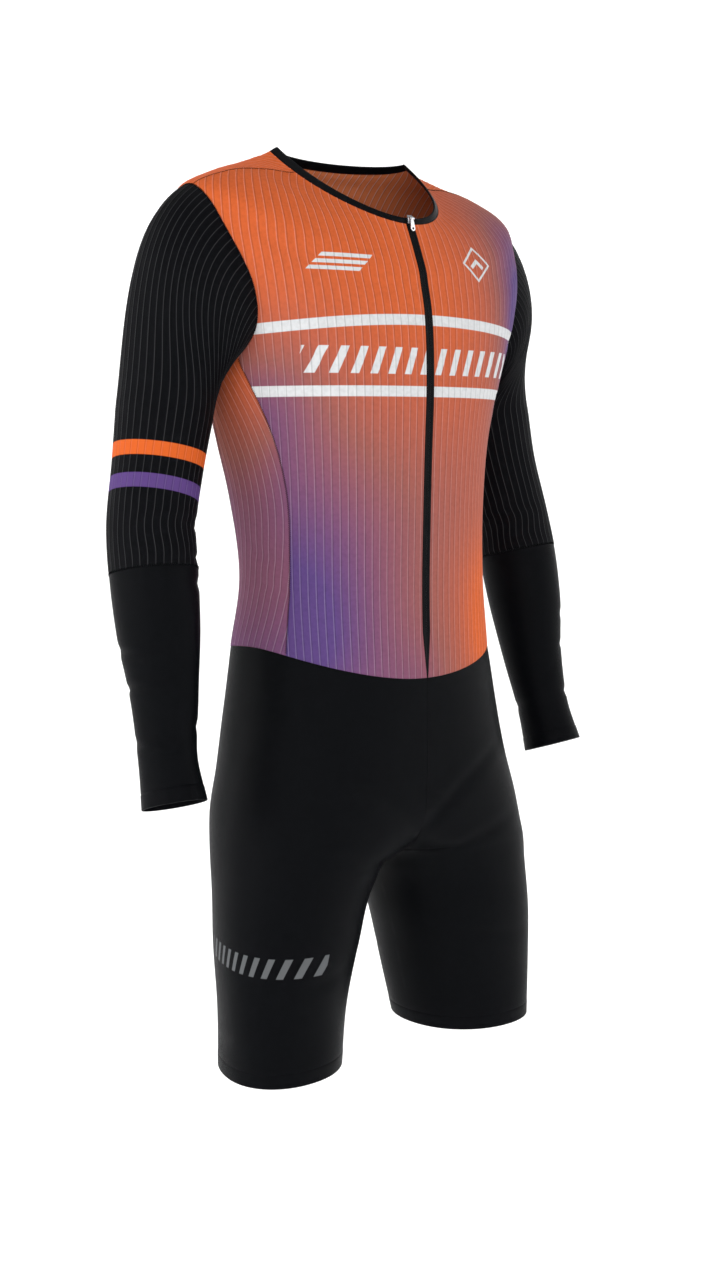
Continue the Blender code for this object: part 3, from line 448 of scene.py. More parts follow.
def torso_angle_at(x, level):
    """The angle on the front of the torso where the section at this level is x from the middle plane."""
    low = np.zeros_like(level)
    high = np.full_like(level, math.radians(60))
    for _ in range(40):
        middle = (low + high) / 2
        over = torso(middle, level)[..., 0] > x
        high = np.where(over, middle, high)
        low = np.where(over, low, middle)
    return (low + high) / 2


# ---- Rib numbers: whole numbers lie on a rib's crest ---------------------------------------------------------------
def front_rib(angle, level):
    """Front ribs run beside the zip: the distance from it over the pitch at this level."""
    knots = column(FRONT_RIB_COLUMNS, FRONT_RIBS, "level")
    pitch = follow(knots, column(FRONT_RIB_COLUMNS, FRONT_RIBS, "pitch"), level)
    return arc(angle, level) / pitch


def side_rib(angle, level):
    """Side ribs run beside a line that leans away from the princess seam."""
    lead = follow(column(SEAM_COLUMNS, PRINCESS_SEAM, "level"), column(SEAM_COLUMNS, PRINCESS_SEAM, "angle"), level)
    knots = column(SIDE_RIB_COLUMNS, SIDE_RIB_LEAN, "level")
    lead = lead + follow(knots, column(SIDE_RIB_COLUMNS, SIDE_RIB_LEAN, "lean"), level)
    return (arc(angle, level) - arc(np.radians(lead), level)) / SIDE_RIB_PITCH


def back_rib(angle, level):
    """Back ribs run beside the middle of the back, where the number is zero."""
    return (arc(angle, level) - arc(np.full_like(angle, math.pi), level)) / BACK_RIB_PITCH


def sleeve_rib(turn, along):
    """Sleeve ribs run down the cloth as it was cut. On the arm they share it evenly, and over the cap they keep
    the pitch that they have at its foot, so that the armhole cuts them off. The number is zero outside."""
    here = between(SLEEVE_ARCS, ARC_TURNS, ARC_ALONGS, turn, along)
    outside = between(SLEEVE_ARCS, ARC_TURNS, ARC_ALONGS, np.zeros_like(turn), along)
    whole = between(SLEEVE_ARCS, ARC_TURNS, ARC_ALONGS, np.full_like(turn, 0.5), np.maximum(along, 0))
    return bpy.context.scene.skinsuit_sizes.sleeve_ribs * (here - outside) / whole


def rib_lift(number, height, half_width):
    """A rib's height: a soft step up to its crest at every whole number, half_width of a pitch to each side."""
    return height * smooth(1 - np.abs(number - np.round(number)) / half_width)


# ---- Folds ---------------------------------------------------------------------------------------------------------
def fold_lift(folds, across, along, scale, whole=None):
    """The sum of the folds. Each is (1 - kq^2) exp(-q^2) across its bowed line, where q is the distance over its
    width, and 4t(1 - t) along it. scale makes across a distance, and whole is a full turn of it."""
    total = np.zeros(np.broadcast(across, along).shape)
    for start_across, start_along, end_across, end_along, width, depth, bow in folds.values():
        off = across - start_across
        if whole:
            middle = (end_across - start_across) / 2
            off = middle + np.mod(off - middle + whole / 2, whole) - whole / 2
        run = np.array([(end_across - start_across) * scale, end_along - start_along])
        length = math.hypot(*run)
        t = (off * scale * run[0] + (along - start_along) * run[1]) / length**2
        gap = ((along - start_along) * run[0] - off * scale * run[1]) / length
        q = (gap - bow * length * 4 * t * (1 - t)) / width
        fade = np.clip(4 * t * (1 - t), 0, 1)
        total = total + depth * (1 - FOLD_SHOULDER * q * q) * np.exp(-q * q) * fade
    return total


def torso_folds(angle, level, side):
    """Folds on the torso, on the left half or mirrored on the right one. They fade out at the waist and neck."""
    signed = np.degrees(angle) * side
    fade = smooth(level / FOLD_FADE) * smooth((NECKLINE - level) / FOLD_FADE)
    return fade * fold_lift(TORSO_FOLDS, signed, level, math.radians(TORSO_RADIUS), 360.0)


def sleeve_folds(turn, along, side):
    """Folds on a sleeve. The right one's lie a little further on than the left one's."""
    shift = 0.02 if side < 0 else 0.0
    fade = smooth((CUFF - along) / FOLD_FADE) * smooth((along + CAP_LENGTH) / FOLD_FADE)
    return fade * fold_lift(SLEEVE_FOLDS, turn - shift, along - 0.2 * shift, SLEEVE_ROUND, 1.0)


def leg_folds(drop, share, side):
    """Folds on a leg. The right one's lie a little lower than the left one's."""
    shift = 0.004 if side < 0 else 0.0
    fade = smooth(drop / FOLD_FADE)
    return fade * fold_lift(LEG_FOLDS, share, drop - shift, LEG_ROUND)


# ---- Meshes --------------------------------------------------------------------------------------------------------
def add_mesh(name, points, faces, material, uv=None, sharp=math.radians(50)):
    """A smooth-shaded mesh object with its place in its mesh. uv is one pair a point."""
    mesh = bpy.data.meshes.new(name)
    mesh.from_pydata(points.tolist(), [], [tuple(face) for block in faces for face in block.tolist()])
    if uv is not None:
        corners = np.empty(len(mesh.loops), np.int32)
        mesh.loops.foreach_get("vertex_index", corners)
        layer = mesh.uv_layers.new(name="weave")
        layer.data.foreach_set("uv", np.asarray(uv, np.float32)[corners].ravel())
    mesh.shade_smooth()
    mesh.set_sharp_from_angle(angle=sharp)
    mesh.materials.append(material)
    thing = bpy.data.objects.new(name, mesh)
    bpy.context.scene.collection.objects.link(thing)
    return thing


def open_ways(faces):
    """The directed edges of the faces that no other face shares: pairs (start, end) along their own direction."""
    starts = faces.ravel()
    ends = np.roll(faces, -1, axis=1).ravel()
    size = faces.max() + 1
    key = np.minimum(starts, ends).astype(np.int64) * size + np.maximum(starts, ends)
    _, first, count = np.unique(key, return_index=True, return_counts=True)
    edge = first[count == 1]
    return starts[edge], ends[edge]


def wall(name, outer, inner, faces, material, uv, lining=None):
    """A closed wall: the outer faces, the inner ones turned round, and a rim along every free edge. lining is the
    finish of the cloth's inner side, where that differs."""
    count = len(outer)
    starts, ends = open_ways(faces)
    rim = np.stack([ends, starts, starts + count, ends + count], -1)
    points = np.concatenate([outer, inner])
    thing = add_mesh(name, points, [faces, faces[:, ::-1] + count, rim], material, np.concatenate([uv, uv]))
    if lining:
        thing.data.materials.append(lining)
        slots = np.repeat([0, 1, 0], [len(faces), len(faces), len(rim)]).astype(np.int32)
        thing.data.polygons.foreach_set("material_index", slots)
    return thing


def grid_faces(rows, columns, closed=False):
    """The four-sided faces of a grid. A closed one has no last column of its own."""
    index = np.arange(rows * columns).reshape(rows, columns)
    if closed:
        index = np.concatenate([index, index[:, :1]], axis=1)
    return np.stack([index[:-1, :-1], index[:-1, 1:], index[1:, 1:], index[1:, :-1]], -1).reshape(-1, 4)


def tube(path, across, out, radius, sides=6):
    """A closed round tube: a circle of this radius carried along the path in the plane of across and out."""
    turn = np.linspace(0, 2 * math.pi, sides, endpoint=False)
    radius = np.broadcast_to(radius, len(path))[:, None, None]
    ring = np.cos(turn)[:, None] * across[:, None] + np.sin(turn)[:, None] * out[:, None]
    points = (path[:, None] + radius * ring).reshape(-1, 3)
    last = (len(path) - 1) * sides
    caps = [np.arange(sides)[None, ::-1], last + np.arange(sides)[None]]
    return points, [grid_faces(len(path), sides, True)] + caps


def join_parts(parts):
    """One set of points and faces from several."""
    points, faces, count = [], [], 0
    for some, blocks in parts:
        points.append(some)
        faces += [block + count for block in blocks]
        count += len(some)
    return np.concatenate(points), faces


def copies(points, blocks, origins, axes):
    """Copies of a small closed shape, one at each origin, turned to the three axes there."""
    placed = origins[:, None] + np.einsum("pi,nij->npj", points, axes)
    step = np.arange(len(origins))[:, None, None] * len(points)
    return placed.reshape(-1, 3), [(block[None] + step).reshape(-1, block.shape[1]) for block in blocks]


# ---- Panels cut from the torso -------------------------------------------------------------------------------------
def inside(outline, points):
    """Whether each point lies in the closed outline: a line to the right crosses it an odd number of times."""
    start, end = outline, np.roll(outline, -1, axis=0)
    x, y = points[:, :1], points[:, 1:]
    spans = (start[:, 1] > y) != (end[:, 1] > y)
    rise = np.where(start[:, 1] == end[:, 1], 1, end[:, 1] - start[:, 1])
    crossing = start[:, 0] + (y - start[:, 1]) / rise * (end[:, 0] - start[:, 0])
    return (spans & (x < crossing)).sum(-1) % 2 == 1


def well_inside(outline, points):
    """Whether each point lies in the outline and clear of its edge."""
    start, end = outline, np.roll(outline, -1, axis=0)
    along = ((points[:, None] - start) * (end - start)).sum(-1) / ((end - start) ** 2).sum(-1)
    nearest = start + np.clip(along, 0, 1)[..., None] * (end - start)
    clear = np.linalg.norm(points[:, None] - nearest, axis=-1).min(-1) > CLEAR_OF_EDGE
    return inside(outline, points) & clear


def knit_grid(outline, rib, rows, places):
    """Pairs and triangles that fill an outline of pairs (across, along), with the grid's columns on the ribs. rib
    numbers a pair, rows are values of along, and places are values of across that a row's columns lie between."""
    edge = np.stack([rib(outline[:, 0], outline[:, 1]) * RIB_UNIT, outline[:, 1] * ROW_SQUEEZE], -1)
    ribs = np.arange(np.floor(edge[:, 0].min() / RIB_UNIT), np.ceil(edge[:, 0].max() / RIB_UNIT) + 1)
    columns = (ribs[:, None] + RIB_COLUMNS).ravel()
    flat, pairs = [edge], [outline]
    for along in rows:
        row = np.stack([columns * RIB_UNIT, np.full_like(columns, along * ROW_SQUEEZE)], -1)
        kept = well_inside(edge, row)
        across = np.interp(columns, rib(places, np.full_like(places, along)), places)
        flat.append(row[kept])
        pairs.append(np.stack([across, np.full_like(across, along)], -1)[kept])
    flat = np.concatenate(flat)
    around = [tuple(range(len(outline)))]
    _, _, faces, origins, _, _ = delaunay_2d_cdt(flat.tolist(), [], around, 1, 1e-7)
    first = np.array([origin[0] for origin in origins])
    return np.concatenate(pairs), first[np.array(faces)], flat


def torso_rows():
    """The levels of the rows that fill a torso panel."""
    step = bpy.context.scene.skinsuit_sizes.row_step
    return np.arange(step / 2, NECKLINE, step)


def draw_in(points, facing, count):
    """The first count points, a closed outline run anticlockwise, drawn in by half a seam gap on every side."""
    edge, out = points[:count], facing[:count]
    before = unit(edge - np.roll(edge, 1, axis=0))
    after = unit(np.roll(edge, -1, axis=0) - edge)
    one, other = np.cross(out, before), np.cross(out, after)
    spread = 1 + (one * other).sum(-1, keepdims=True)
    moved = points.copy()
    moved[:count] += SEAM_GAP / 2 * (one + other) / np.maximum(spread, 0.4)
    return moved


def torso_wall(pairs, flat, count, side):
    """Outer and inner points of a panel on the left half of the torso, or of its mirror image."""
    sizes = bpy.context.scene.skinsuit_sizes
    level = np.clip(pairs[:, 1], PROBE, BINDING_TOP - PROBE)
    facing = normals(torso, pairs[:, 0], level)
    points = draw_in(torso(pairs[:, 0], pairs[:, 1]), facing, count)
    fold = torso_folds(pairs[:, 0], pairs[:, 1], side)[:, None]
    ribs = rib_lift(flat[:, 0] / RIB_UNIT, sizes.rib_height, sizes.rib_half_width)[:, None]
    mirror = MIRROR if side < 0 else 1
    return (points + (fold + ribs) * facing) * mirror, (points + (fold - sizes.cloth_wall) * facing) * mirror


# ---- Seams as rows of pairs ----------------------------------------------------------------------------------------
def seam(rows, levels):
    """Pairs (angle, level) of a seam whose table gives its angle in degrees at levels."""
    angles = follow(column(SEAM_COLUMNS, rows, "level"), column(SEAM_COLUMNS, rows, "angle"), levels)
    return np.stack([np.radians(angles), levels], -1)


def armhole_run(first, last, count):
    """Pairs (angle, level) along the armhole, from one turn to another."""
    return np.stack(armhole(np.linspace(first, last, count + 1)), -1)


def meet(pairs, point):
    """The seam with its upper half drawn over so that it ends on the armhole's point."""
    return pairs + np.linspace(0, 1, len(pairs))[:, None] ** 2 * (point - pairs[-1])


def level_pairs(first, last, level, count):
    """Pairs at one level, evenly from one angle to another."""
    return np.stack([np.linspace(first, last, count + 1), np.full(count + 1, level)], -1)


def zip_half_width(level):
    """Half the zip's width: even, and drawn to a narrow tip at the waist seam."""
    return (ZIP_TIP_WIDTH + (ZIP_WIDTH - ZIP_TIP_WIDTH) * np.clip(level / ZIP_TAPER, 0, 1)) / 2


def seams():
    """Every seam curve of the left half by name, as pairs on the torso, close enough to cut the ribs cleanly."""
    front_hole = armhole_run(SHOULDER_TURN, PRINCESS_TURN, 170)
    under_hole = armhole_run(PRINCESS_TURN, SIDE_BACK_TURN, 70)
    back_hole = armhole_run(SIDE_BACK_TURN, 1 + SHOULDER_TURN, 190)
    levels = np.linspace(0, NECKLINE, 221)
    zip_edge = np.stack([torso_angle_at(zip_half_width(levels), levels), levels], -1)
    princess = meet(seam(PRINCESS_SEAM, np.linspace(0, under_hole[0, 1], 121)), under_hole[0])
    side_back = meet(seam(SIDE_BACK_SEAM, np.linspace(0, under_hole[-1, 1], 121)), under_hole[-1])
    shoulder = np.linspace(0, 1, 101)[:, None]
    neck_corner = np.array([SHOULDER_SEAM_NECK_ANGLE, NECKLINE])
    return {
        "zip": zip_edge,
        "princess": princess,
        "side_back": side_back,
        "front_hole": front_hole,
        "under_hole": under_hole,
        "back_hole": back_hole,
        "front_neck": level_pairs(zip_edge[-1, 0], SHOULDER_SEAM_NECK_ANGLE, NECKLINE, 120),
        "shoulder": neck_corner + shoulder * (front_hole[0] - neck_corner),
        "back_neck": level_pairs(SHOULDER_SEAM_NECK_ANGLE, math.pi, NECKLINE, 140),
        "front_waist": level_pairs(zip_edge[0, 0], princess[0, 0], 0.0, 170),
        "side_waist": level_pairs(princess[0, 0], side_back[0, 0], 0.0, 150),
        "back_waist": level_pairs(side_back[0, 0], math.pi, 0.0, 130),
    }


SEAMS = seams()


def loop(*runs):
    """One closed outline from runs that follow each other, without the point where one ends and the next begins."""
    return np.concatenate([run[:-1] for run in runs])


# ---- Shader recipes ------------------------------------------------------------------------------------------------
class Value:
    """A number that varies over a surface. Sums of it add Math nodes."""

    def __init__(self, recipe, socket):
        self.recipe = recipe
        self.socket = socket

    def maths(self, operation, *values):
        """A Math node of this operation."""
        node = self.recipe.node("ShaderNodeMath", {"operation": operation}, dict(enumerate(values)))
        return Value(self.recipe, node.outputs[0])

    def __add__(self, other):
        return self.maths("ADD", self, other)

    def __sub__(self, other):
        return self.maths("SUBTRACT", self, other)

    def __rsub__(self, other):
        return self.maths("SUBTRACT", other, self)

    def __mul__(self, other):
        return self.maths("MULTIPLY", self, other)

    def __truediv__(self, other):
        return self.maths("DIVIDE", self, other)

    def __rtruediv__(self, other):
        return self.maths("DIVIDE", other, self)

    def __neg__(self):
        return self * -1.0

    def __or__(self, other):
        return self.maths("MAXIMUM", self, other)

    def __abs__(self):
        return self.maths("ABSOLUTE", self)

    __radd__ = __add__
    __rmul__ = __mul__

    def wave(self, count):
        """The sine of this many turns for each one of the value."""
        return self.maths("SINE", self * (2 * math.pi * count))

    def from_whole(self):
        """The distance to the nearest whole number."""
        return self.maths("PINGPONG", self, 0.5)

    def step(self, low, high):
        """A soft step from 0 at low to 1 at high, which may be below low."""
        inputs = {"Value": self, "From Min": low, "From Max": high}
        node = self.recipe.node("ShaderNodeMapRange", {"interpolation_type": "SMOOTHSTEP"}, inputs)
        return Value(self.recipe, node.outputs[0])

    def under(self, limit, soft):
        """1 where the value is under the limit, with a soft edge."""
        return 1 - self.step(limit - soft, limit + soft)


class Recipe:
    """A Principled material, and the nodes that feed it."""

    def __init__(self, name):
        self.material = bpy.data.materials.new(name)
        self.material.use_nodes = True
        self.tree = self.material.node_tree
        self.shader = self.tree.nodes["Principled BSDF"]

    def join(self, value, socket):
        """Sets a socket to a number or colour, or links a value to it."""
        value = getattr(value, "socket", value)
        if isinstance(value, bpy.types.NodeSocket):
            self.tree.links.new(value, socket)
        else:
            socket.default_value = value

    def node(self, kind, settings, inputs):
        """A node of this kind: its settings first, then the values or links of its sockets."""
        node = self.tree.nodes.new(kind)
        for name, value in settings.items():
            setattr(node, name, value)
        for name, value in inputs.items():
            self.join(value, node.inputs[name])
        return node

    def set(self, **inputs):
        """Sets or links the shader's sockets, with _ for a space in their names."""
        for name, value in inputs.items():
            self.join(value, self.shader.inputs[name.replace("_", " ")])

    def place(self):
        """x, y and z on the object."""
        place = self.node("ShaderNodeTexCoord", {}, {}).outputs["Object"]
        split = self.node("ShaderNodeSeparateXYZ", {}, {0: place})
        return [Value(self, socket) for socket in split.outputs]

    def weave(self):
        """Across the ribs and along them, from the cloth's own map, both in rib pitches."""
        split = self.node("ShaderNodeSeparateXYZ", {}, {0: self.node("ShaderNodeUVMap", {}, {}).outputs[0]})
        return Value(self, split.outputs[0]), Value(self, split.outputs[1])

    def noise(self, scale, detail):
        """Soft noise on the object, from 0 to 1, this many bumps to the metre."""
        place = self.node("ShaderNodeTexCoord", {}, {}).outputs["Object"]
        inputs = {"Vector": place, "Scale": scale, "Detail": detail}
        return Value(self, self.node("ShaderNodeTexNoise", {}, inputs).outputs[0])

    def mix(self, share, one, other):
        """A colour between two others."""
        node = self.node("ShaderNodeMix", {"data_type": "RGBA"}, {0: share, 6: one, 7: other})
        return node.outputs[2]

    def relief(self, height, distance, strength=1.0):
        """Bumps the surface by a height from 0 to 1 times the distance."""
        bump = self.node("ShaderNodeBump", {}, {"Height": height, "Distance": distance, "Strength": strength})
        self.set(Normal=bump.outputs[0])


def stand_for(thing, node, slot, flat=None, area=None, body=GARMENT):
    """The piece rides on its body and takes its node's place. flat, the size it was cut to in metres, is not used."""
    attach(thing, body)
    if node:
        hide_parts(node)


# ---- Finishes ------------------------------------------------------------------------------------------------------
# PAINTED_HIGHLIGHT is the painted highlight on the ribs' crests. DARK is the painted shade in their grooves, and also
# the random darker mottle of the printed knit.
PAINTED_HIGHLIGHT = (0.80, 0.76, 0.80, 1.0)
DARK = (0.004, 0.004, 0.006, 1.0)

# The print's fade: patches of violet on the orange ground. violet below zero takes it away.
FADE_COLUMNS = ("x", "z", "reach_x", "reach_z", "violet")
FRONT_FADE = {
    "right_hip": (-0.125, -0.450, 0.100, 0.180, 0.60),
    "right_ribs": (-0.155, -0.250, 0.060, 0.100, 0.50),
    "left_ribs": (0.155, -0.235, 0.050, 0.070, 0.40),
    "zip_foot": (-0.010, -0.520, 0.070, 0.080, 0.20),
    "left_armhole": (0.165, -0.150, 0.070, 0.080, 1.15),
    "left_shoulder": (0.150, -0.070, 0.080, 0.070, 0.50),
    "left_hip": (0.120, -0.455, 0.080, 0.110, -0.85),
}
SIDE_FADE = {
    "waist": (0.000, -0.500, 0.400, 0.110, 0.50),
    "right_front": (-0.125, -0.300, 0.030, 0.140, 0.45),
    "left_low": (0.140, -0.400, 0.060, 0.090, -0.20),
}
BACK_FADE = {
    "left_hip": (0.120, -0.430, 0.110, 0.180, 0.60),
    "right_blade": (-0.170, -0.170, 0.080, 0.090, 0.45),
    "left_blade": (0.180, -0.150, 0.070, 0.080, 0.50),
    "right_hip": (-0.110, -0.470, 0.080, 0.090, 0.30),
}
# How violet the ground gets down the suit, between two heights.
GROUND_COLUMNS = ("high", "low", "violet")
FRONT_GROUND = (-0.120, -0.380, 0.46)
SIDE_GROUND = (-0.150, -0.400, 0.40)
BACK_GROUND = (-0.060, -0.400, 0.65)

STRIPES = {"upper": (-0.1615, 0.45), "lower": (-0.2290, 0.05)}
BAR_ROW = {"middle_z": -0.2005, "half_height": 0.0125, "half_width": 0.132, "pitch": 0.0190, "slant": 0.35}
STEPPED_MARK = {"middle_x": -0.0950, "middle_z": -0.1110, "pitch": 0.0062, "half_width": 0.0270, "slant": 1.1}
FRAMED_MARK = {"middle_x": 0.0770, "middle_z": -0.1030, "reach": 0.0185, "inner": 0.0125}
PRINT_EDGE = 0.0004
SLEEVE_BANDS = {"orange": (0.0410, 0.0070), "violet": (0.0723, 0.0067)}
THIGH_BARS = {"middle": 0.2960, "lean": 0.018, "half_height": 0.0095, "first": 0.15, "last": 0.58, "pitch": 0.0165}


def colour(name):
    """A colour of the suit as the four numbers that a socket takes."""
    return (*getattr(bpy.context.scene.skinsuit_colours, name), 1.0)


def knit(across, along, wales, courses):
    """Stitch relief of a fine knit: this many wales and courses to a rib pitch, as a product of two sines."""
    return across.wave(wales) * along.wave(courses) * 0.35 + across.wave(wales) * 0.15 + 0.5


def fade(x, z, table, ground):
    """How violet the print is: the ground's share, which grows down the suit, plus every patch. A patch is
    violet / (1 + q^2)^2, with q the distance from its middle over its reach."""
    high, low, most = ground
    total = z.step(high, low) * most
    for middle_x, middle_z, reach_x, reach_z, violet in table.values():
        across, up = (x - middle_x) / reach_x, (z - middle_z) / reach_z
        q = across * across + up * up + 1
        total = total + violet / (q * q)
    return total.maths("MINIMUM", total.maths("MAXIMUM", total, 0.0), 1.0)


def faded_colour(recipe, violet):
    """The print's colour: orange, then a warm brown half way, then violet, as inks that overlap do."""
    low = recipe.mix((violet * 2).maths("MINIMUM", violet * 2, 1.0), colour("orange"), colour("between"))
    return recipe.mix((violet * 2 - 1).maths("MAXIMUM", violet * 2 - 1, 0.0), low, colour("violet"))


def front_print(x, z):
    """White print on the fronts: two stripes, a row of slanted bars between them, three stepped bars on the right
    of the chest and a chevron in a frame on the left."""
    half = bpy.context.scene.skinsuit_sizes.stripe_width / 2
    bent = x * x
    marks = [abs(z - (middle - bent * bow)).under(half, PRINT_EDGE) for middle, bow in STRIPES.values()]

    row = BAR_ROW
    up = z - row["middle_z"]
    bars = ((x - up * row["slant"]) / row["pitch"] + 0.25).from_whole().under(0.21, 0.02)
    marks.append(bars * abs(up).under(row["half_height"], PRINT_EDGE) * abs(x).under(row["half_width"], PRINT_EDGE))

    mark = STEPPED_MARK
    up = z - mark["middle_z"]
    across = x - mark["middle_x"] - up * mark["slant"]
    bars = (up / mark["pitch"]).from_whole().under(0.29, 0.05) * abs(up).under(1.45 * mark["pitch"], PRINT_EDGE)
    marks.append(bars * abs(across).under(mark["half_width"], PRINT_EDGE))

    mark = FRAMED_MARK
    across, up = abs(x - mark["middle_x"]), z - mark["middle_z"]
    away = across + abs(up) * 1.15
    frame_line = abs(away - mark["reach"]).under(0.0017, PRINT_EDGE)
    chevron = abs(up + across * 0.8 - 0.003).under(0.0024, PRINT_EDGE) * away.under(mark["inner"], PRINT_EDGE)
    marks.append(frame_line | chevron)

    total = marks[0]
    for other in marks[1:]:
        total = total | other
    return total


def rib_painted_light(recipe, base, across, pale, dark):
    """The base, paler on the ribs' crests as a painted highlight and darker in the groove on one side of each as
    painted shade.
    """
    # Painted highlight on each rib's crest, and painted shade in the groove beside it.
    crest = across.from_whole().under(0.050, 0.035)
    groove = (across + 0.155).from_whole().under(0.045, 0.045)
    return recipe.mix(groove * dark, recipe.mix(crest * pale, base, PAINTED_HIGHLIGHT), DARK)


def ribbed_print(name, table, ground, marked=False):
    """Printed ribbed knit: the fade from orange to violet, with white print over it on the fronts."""
    recipe = Recipe(name)
    x, _, z = recipe.place()
    across, along = recipe.weave()
    uneven = recipe.noise(260.0, 3.0)
    base = faded_colour(recipe, fade(x, z, table, ground))
    if marked:
        base = recipe.mix(front_print(x, z), base, colour("white_print"))
    # Painted highlight on the rib crests and painted shade in their grooves.
    base = rib_painted_light(recipe, base, across, 0.12, 0.30)
    base = recipe.mix(uneven.step(0.35, 0.75) * 0.10, base, DARK)
    recipe.set(Base_Color=base, Roughness=uneven * 0.14 + 0.62, Specular_IOR_Level=0.12)
    recipe.relief(knit(across, along, 9.0, 8.0) + uneven * 0.4, 0.00016, 0.6)
    return recipe.material


def print_reverse(name):
    """The printed knit's inner side: the print shows through paler, and more so down the back."""
    recipe = Recipe(name)
    _, _, z = recipe.place()
    across, along = recipe.weave()
    base = recipe.mix(z.step(-0.02, -0.16) * 0.8, (0.86, 0.24, 0.09, 1.0), (0.66, 0.25, 0.24, 1.0))
    # Painted highlight on the rib crests and painted shade in their grooves.
    base = rib_painted_light(recipe, base, across, 0.45, 0.25)
    recipe.set(Base_Color=base, Roughness=0.75, Specular_IOR_Level=0.12)
    recipe.relief(knit(across, along, 9.0, 8.0), 0.00016, 0.6)
    return recipe.material


def black_ribbed(name, bands=False):
    """Black ribbed knit, with an orange and a violet band round the right upper sleeve."""
    recipe = Recipe(name)
    across, along = recipe.weave()
    uneven = recipe.noise(240.0, 3.0)
    base = recipe.mix(uneven, colour("black"), colour("black_light"))
    if bands:
        for tint, (middle, half) in SLEEVE_BANDS.items():
            band = abs(along * RIB_UNIT - middle).under(half, PRINT_EDGE)
            base = recipe.mix(band, base, colour(tint))
    # Painted highlight on the rib crests and painted shade in their grooves.
    base = rib_painted_light(recipe, base, across, 0.030, 0.30)
    recipe.set(Base_Color=base, Roughness=uneven * 0.15 + 0.46, Specular_IOR_Level=0.030)
    recipe.relief(knit(across, along, 8.0, 8.0) + uneven * 0.4, 0.00014, 0.6)
    return recipe.material


def black_satin(name, barred=False):
    """Smooth black satin knit, with a row of grey slanted bars on the right thigh."""
    recipe = Recipe(name)
    across, along = recipe.weave()
    uneven = recipe.noise(180.0, 4.0)
    base = recipe.mix(uneven, colour("black"), colour("black_light"))
    if barred:
        bars = THIGH_BARS
        share = across * (RIB_UNIT / LEG_ROUND)
        drop = along * RIB_UNIT
        up = drop - bars["middle"] + (share - 0.36) * bars["lean"]
        slanted = ((across * RIB_UNIT - up * 0.35) / bars["pitch"]).from_whole().under(0.21, 0.02)
        ends = share.step(bars["first"] - 0.001, bars["first"]) * share.under(bars["last"], 0.001)
        mask = slanted * ends * abs(up).under(bars["half_height"], PRINT_EDGE)
        base = recipe.mix(mask, base, colour("grey_print"))
    recipe.set(Base_Color=base, Roughness=uneven * 0.16 + 0.36, Specular_IOR_Level=0.030)
    recipe.relief(knit(across, along, 12.0, 12.0) + uneven * 0.7, 0.00010, 0.6)
    return recipe.material


def black_trim(name, roughness):
    """Dense black knit or thread, whose relief needs no map of its own."""
    recipe = Recipe(name)
    fine, broad = recipe.noise(1600.0, 2.0), recipe.noise(200.0, 3.0)
    base = recipe.mix(broad, colour("black"), colour("black_light"))
    recipe.set(Base_Color=base, Roughness=fine * 0.15 + roughness, Specular_IOR_Level=0.06)
    recipe.relief(fine, 0.0001, 0.7)
    return recipe.material


def bright_metal(name):
    """Cast and tumbled zinc: bright, with faint scratches and duller hollows."""
    recipe = Recipe(name)
    scratches, broad = recipe.noise(2600.0, 3.0), recipe.noise(420.0, 3.0)
    base = recipe.mix(broad, colour("metal"), (0.52, 0.53, 0.56, 1.0))
    recipe.set(Base_Color=base, Metallic=1.0, Roughness=scratches * 0.18 + 0.16)
    recipe.relief(scratches, 0.00002, 0.6)
    return recipe.material


# ---- Fronts, sides and back ----------------------------------------------------------------------------------------
FRONT_CUT = {"flat": (0.205, 0.505), "area": 0.0745}
SIDE_CUT = {"flat": (0.120, 0.280), "area": 0.0228}
BACK_CUT = {"flat": (0.385, 0.500), "area": 0.1580}
UPPER_SLEEVE_CUT = {"flat": (0.300, 0.330), "area": 0.0800}
LOWER_SLEEVE_CUT = {"flat": (0.245, 0.210), "area": 0.0435}
SHORTS_CUT = {"flat": (0.500, 0.410), "area": 0.1770}
BINDING_CUT = {"flat": (0.012, 0.440), "area": 0.0052}
ZIP_CUT = {"flat": (0.010, 0.470), "area": 0.0045}


def front_outline():
    """The left front's edge, anticlockwise as seen from outside."""
    runs = (
        SEAMS["front_waist"],
        SEAMS["princess"],
        SEAMS["front_hole"][::-1],
        SEAMS["shoulder"][::-1],
        SEAMS["front_neck"][::-1],
        SEAMS["zip"][::-1],
    )
    return loop(*runs)


def side_outline():
    """The left side panel's edge."""
    return loop(SEAMS["side_waist"], SEAMS["side_back"], SEAMS["under_hole"][::-1], SEAMS["princess"][::-1])


def back_outline():
    """The edge of the back's left half, up its middle line too."""
    levels = np.linspace(0, NECKLINE, 191)
    middle = np.stack([np.full_like(levels, math.pi), levels], -1)
    runs = (SEAMS["back_waist"], middle, SEAMS["back_neck"][::-1], SEAMS["shoulder"])
    return loop(*runs, SEAMS["back_hole"][::-1], SEAMS["side_back"][::-1])


def add_panels(name, outline, rib, materials, cut, slot):
    """A left panel, and its mirror image with folds of its own."""
    pairs, faces, flat = knit_grid(outline, rib, torso_rows(), ARC_ANGLES)
    uv = np.stack([flat[:, 0], pairs[:, 1]], -1) / RIB_UNIT
    for where, side in SIDES.items():
        outer, inner = torso_wall(pairs, flat, len(outline), side)
        turned = faces if side > 0 else faces[:, ::-1]
        panel = wall(f"cloth_{name}_{where}", outer, inner, turned, materials[where], uv)
        stand_for(panel, f"{name}_{where}", slot, **cut)


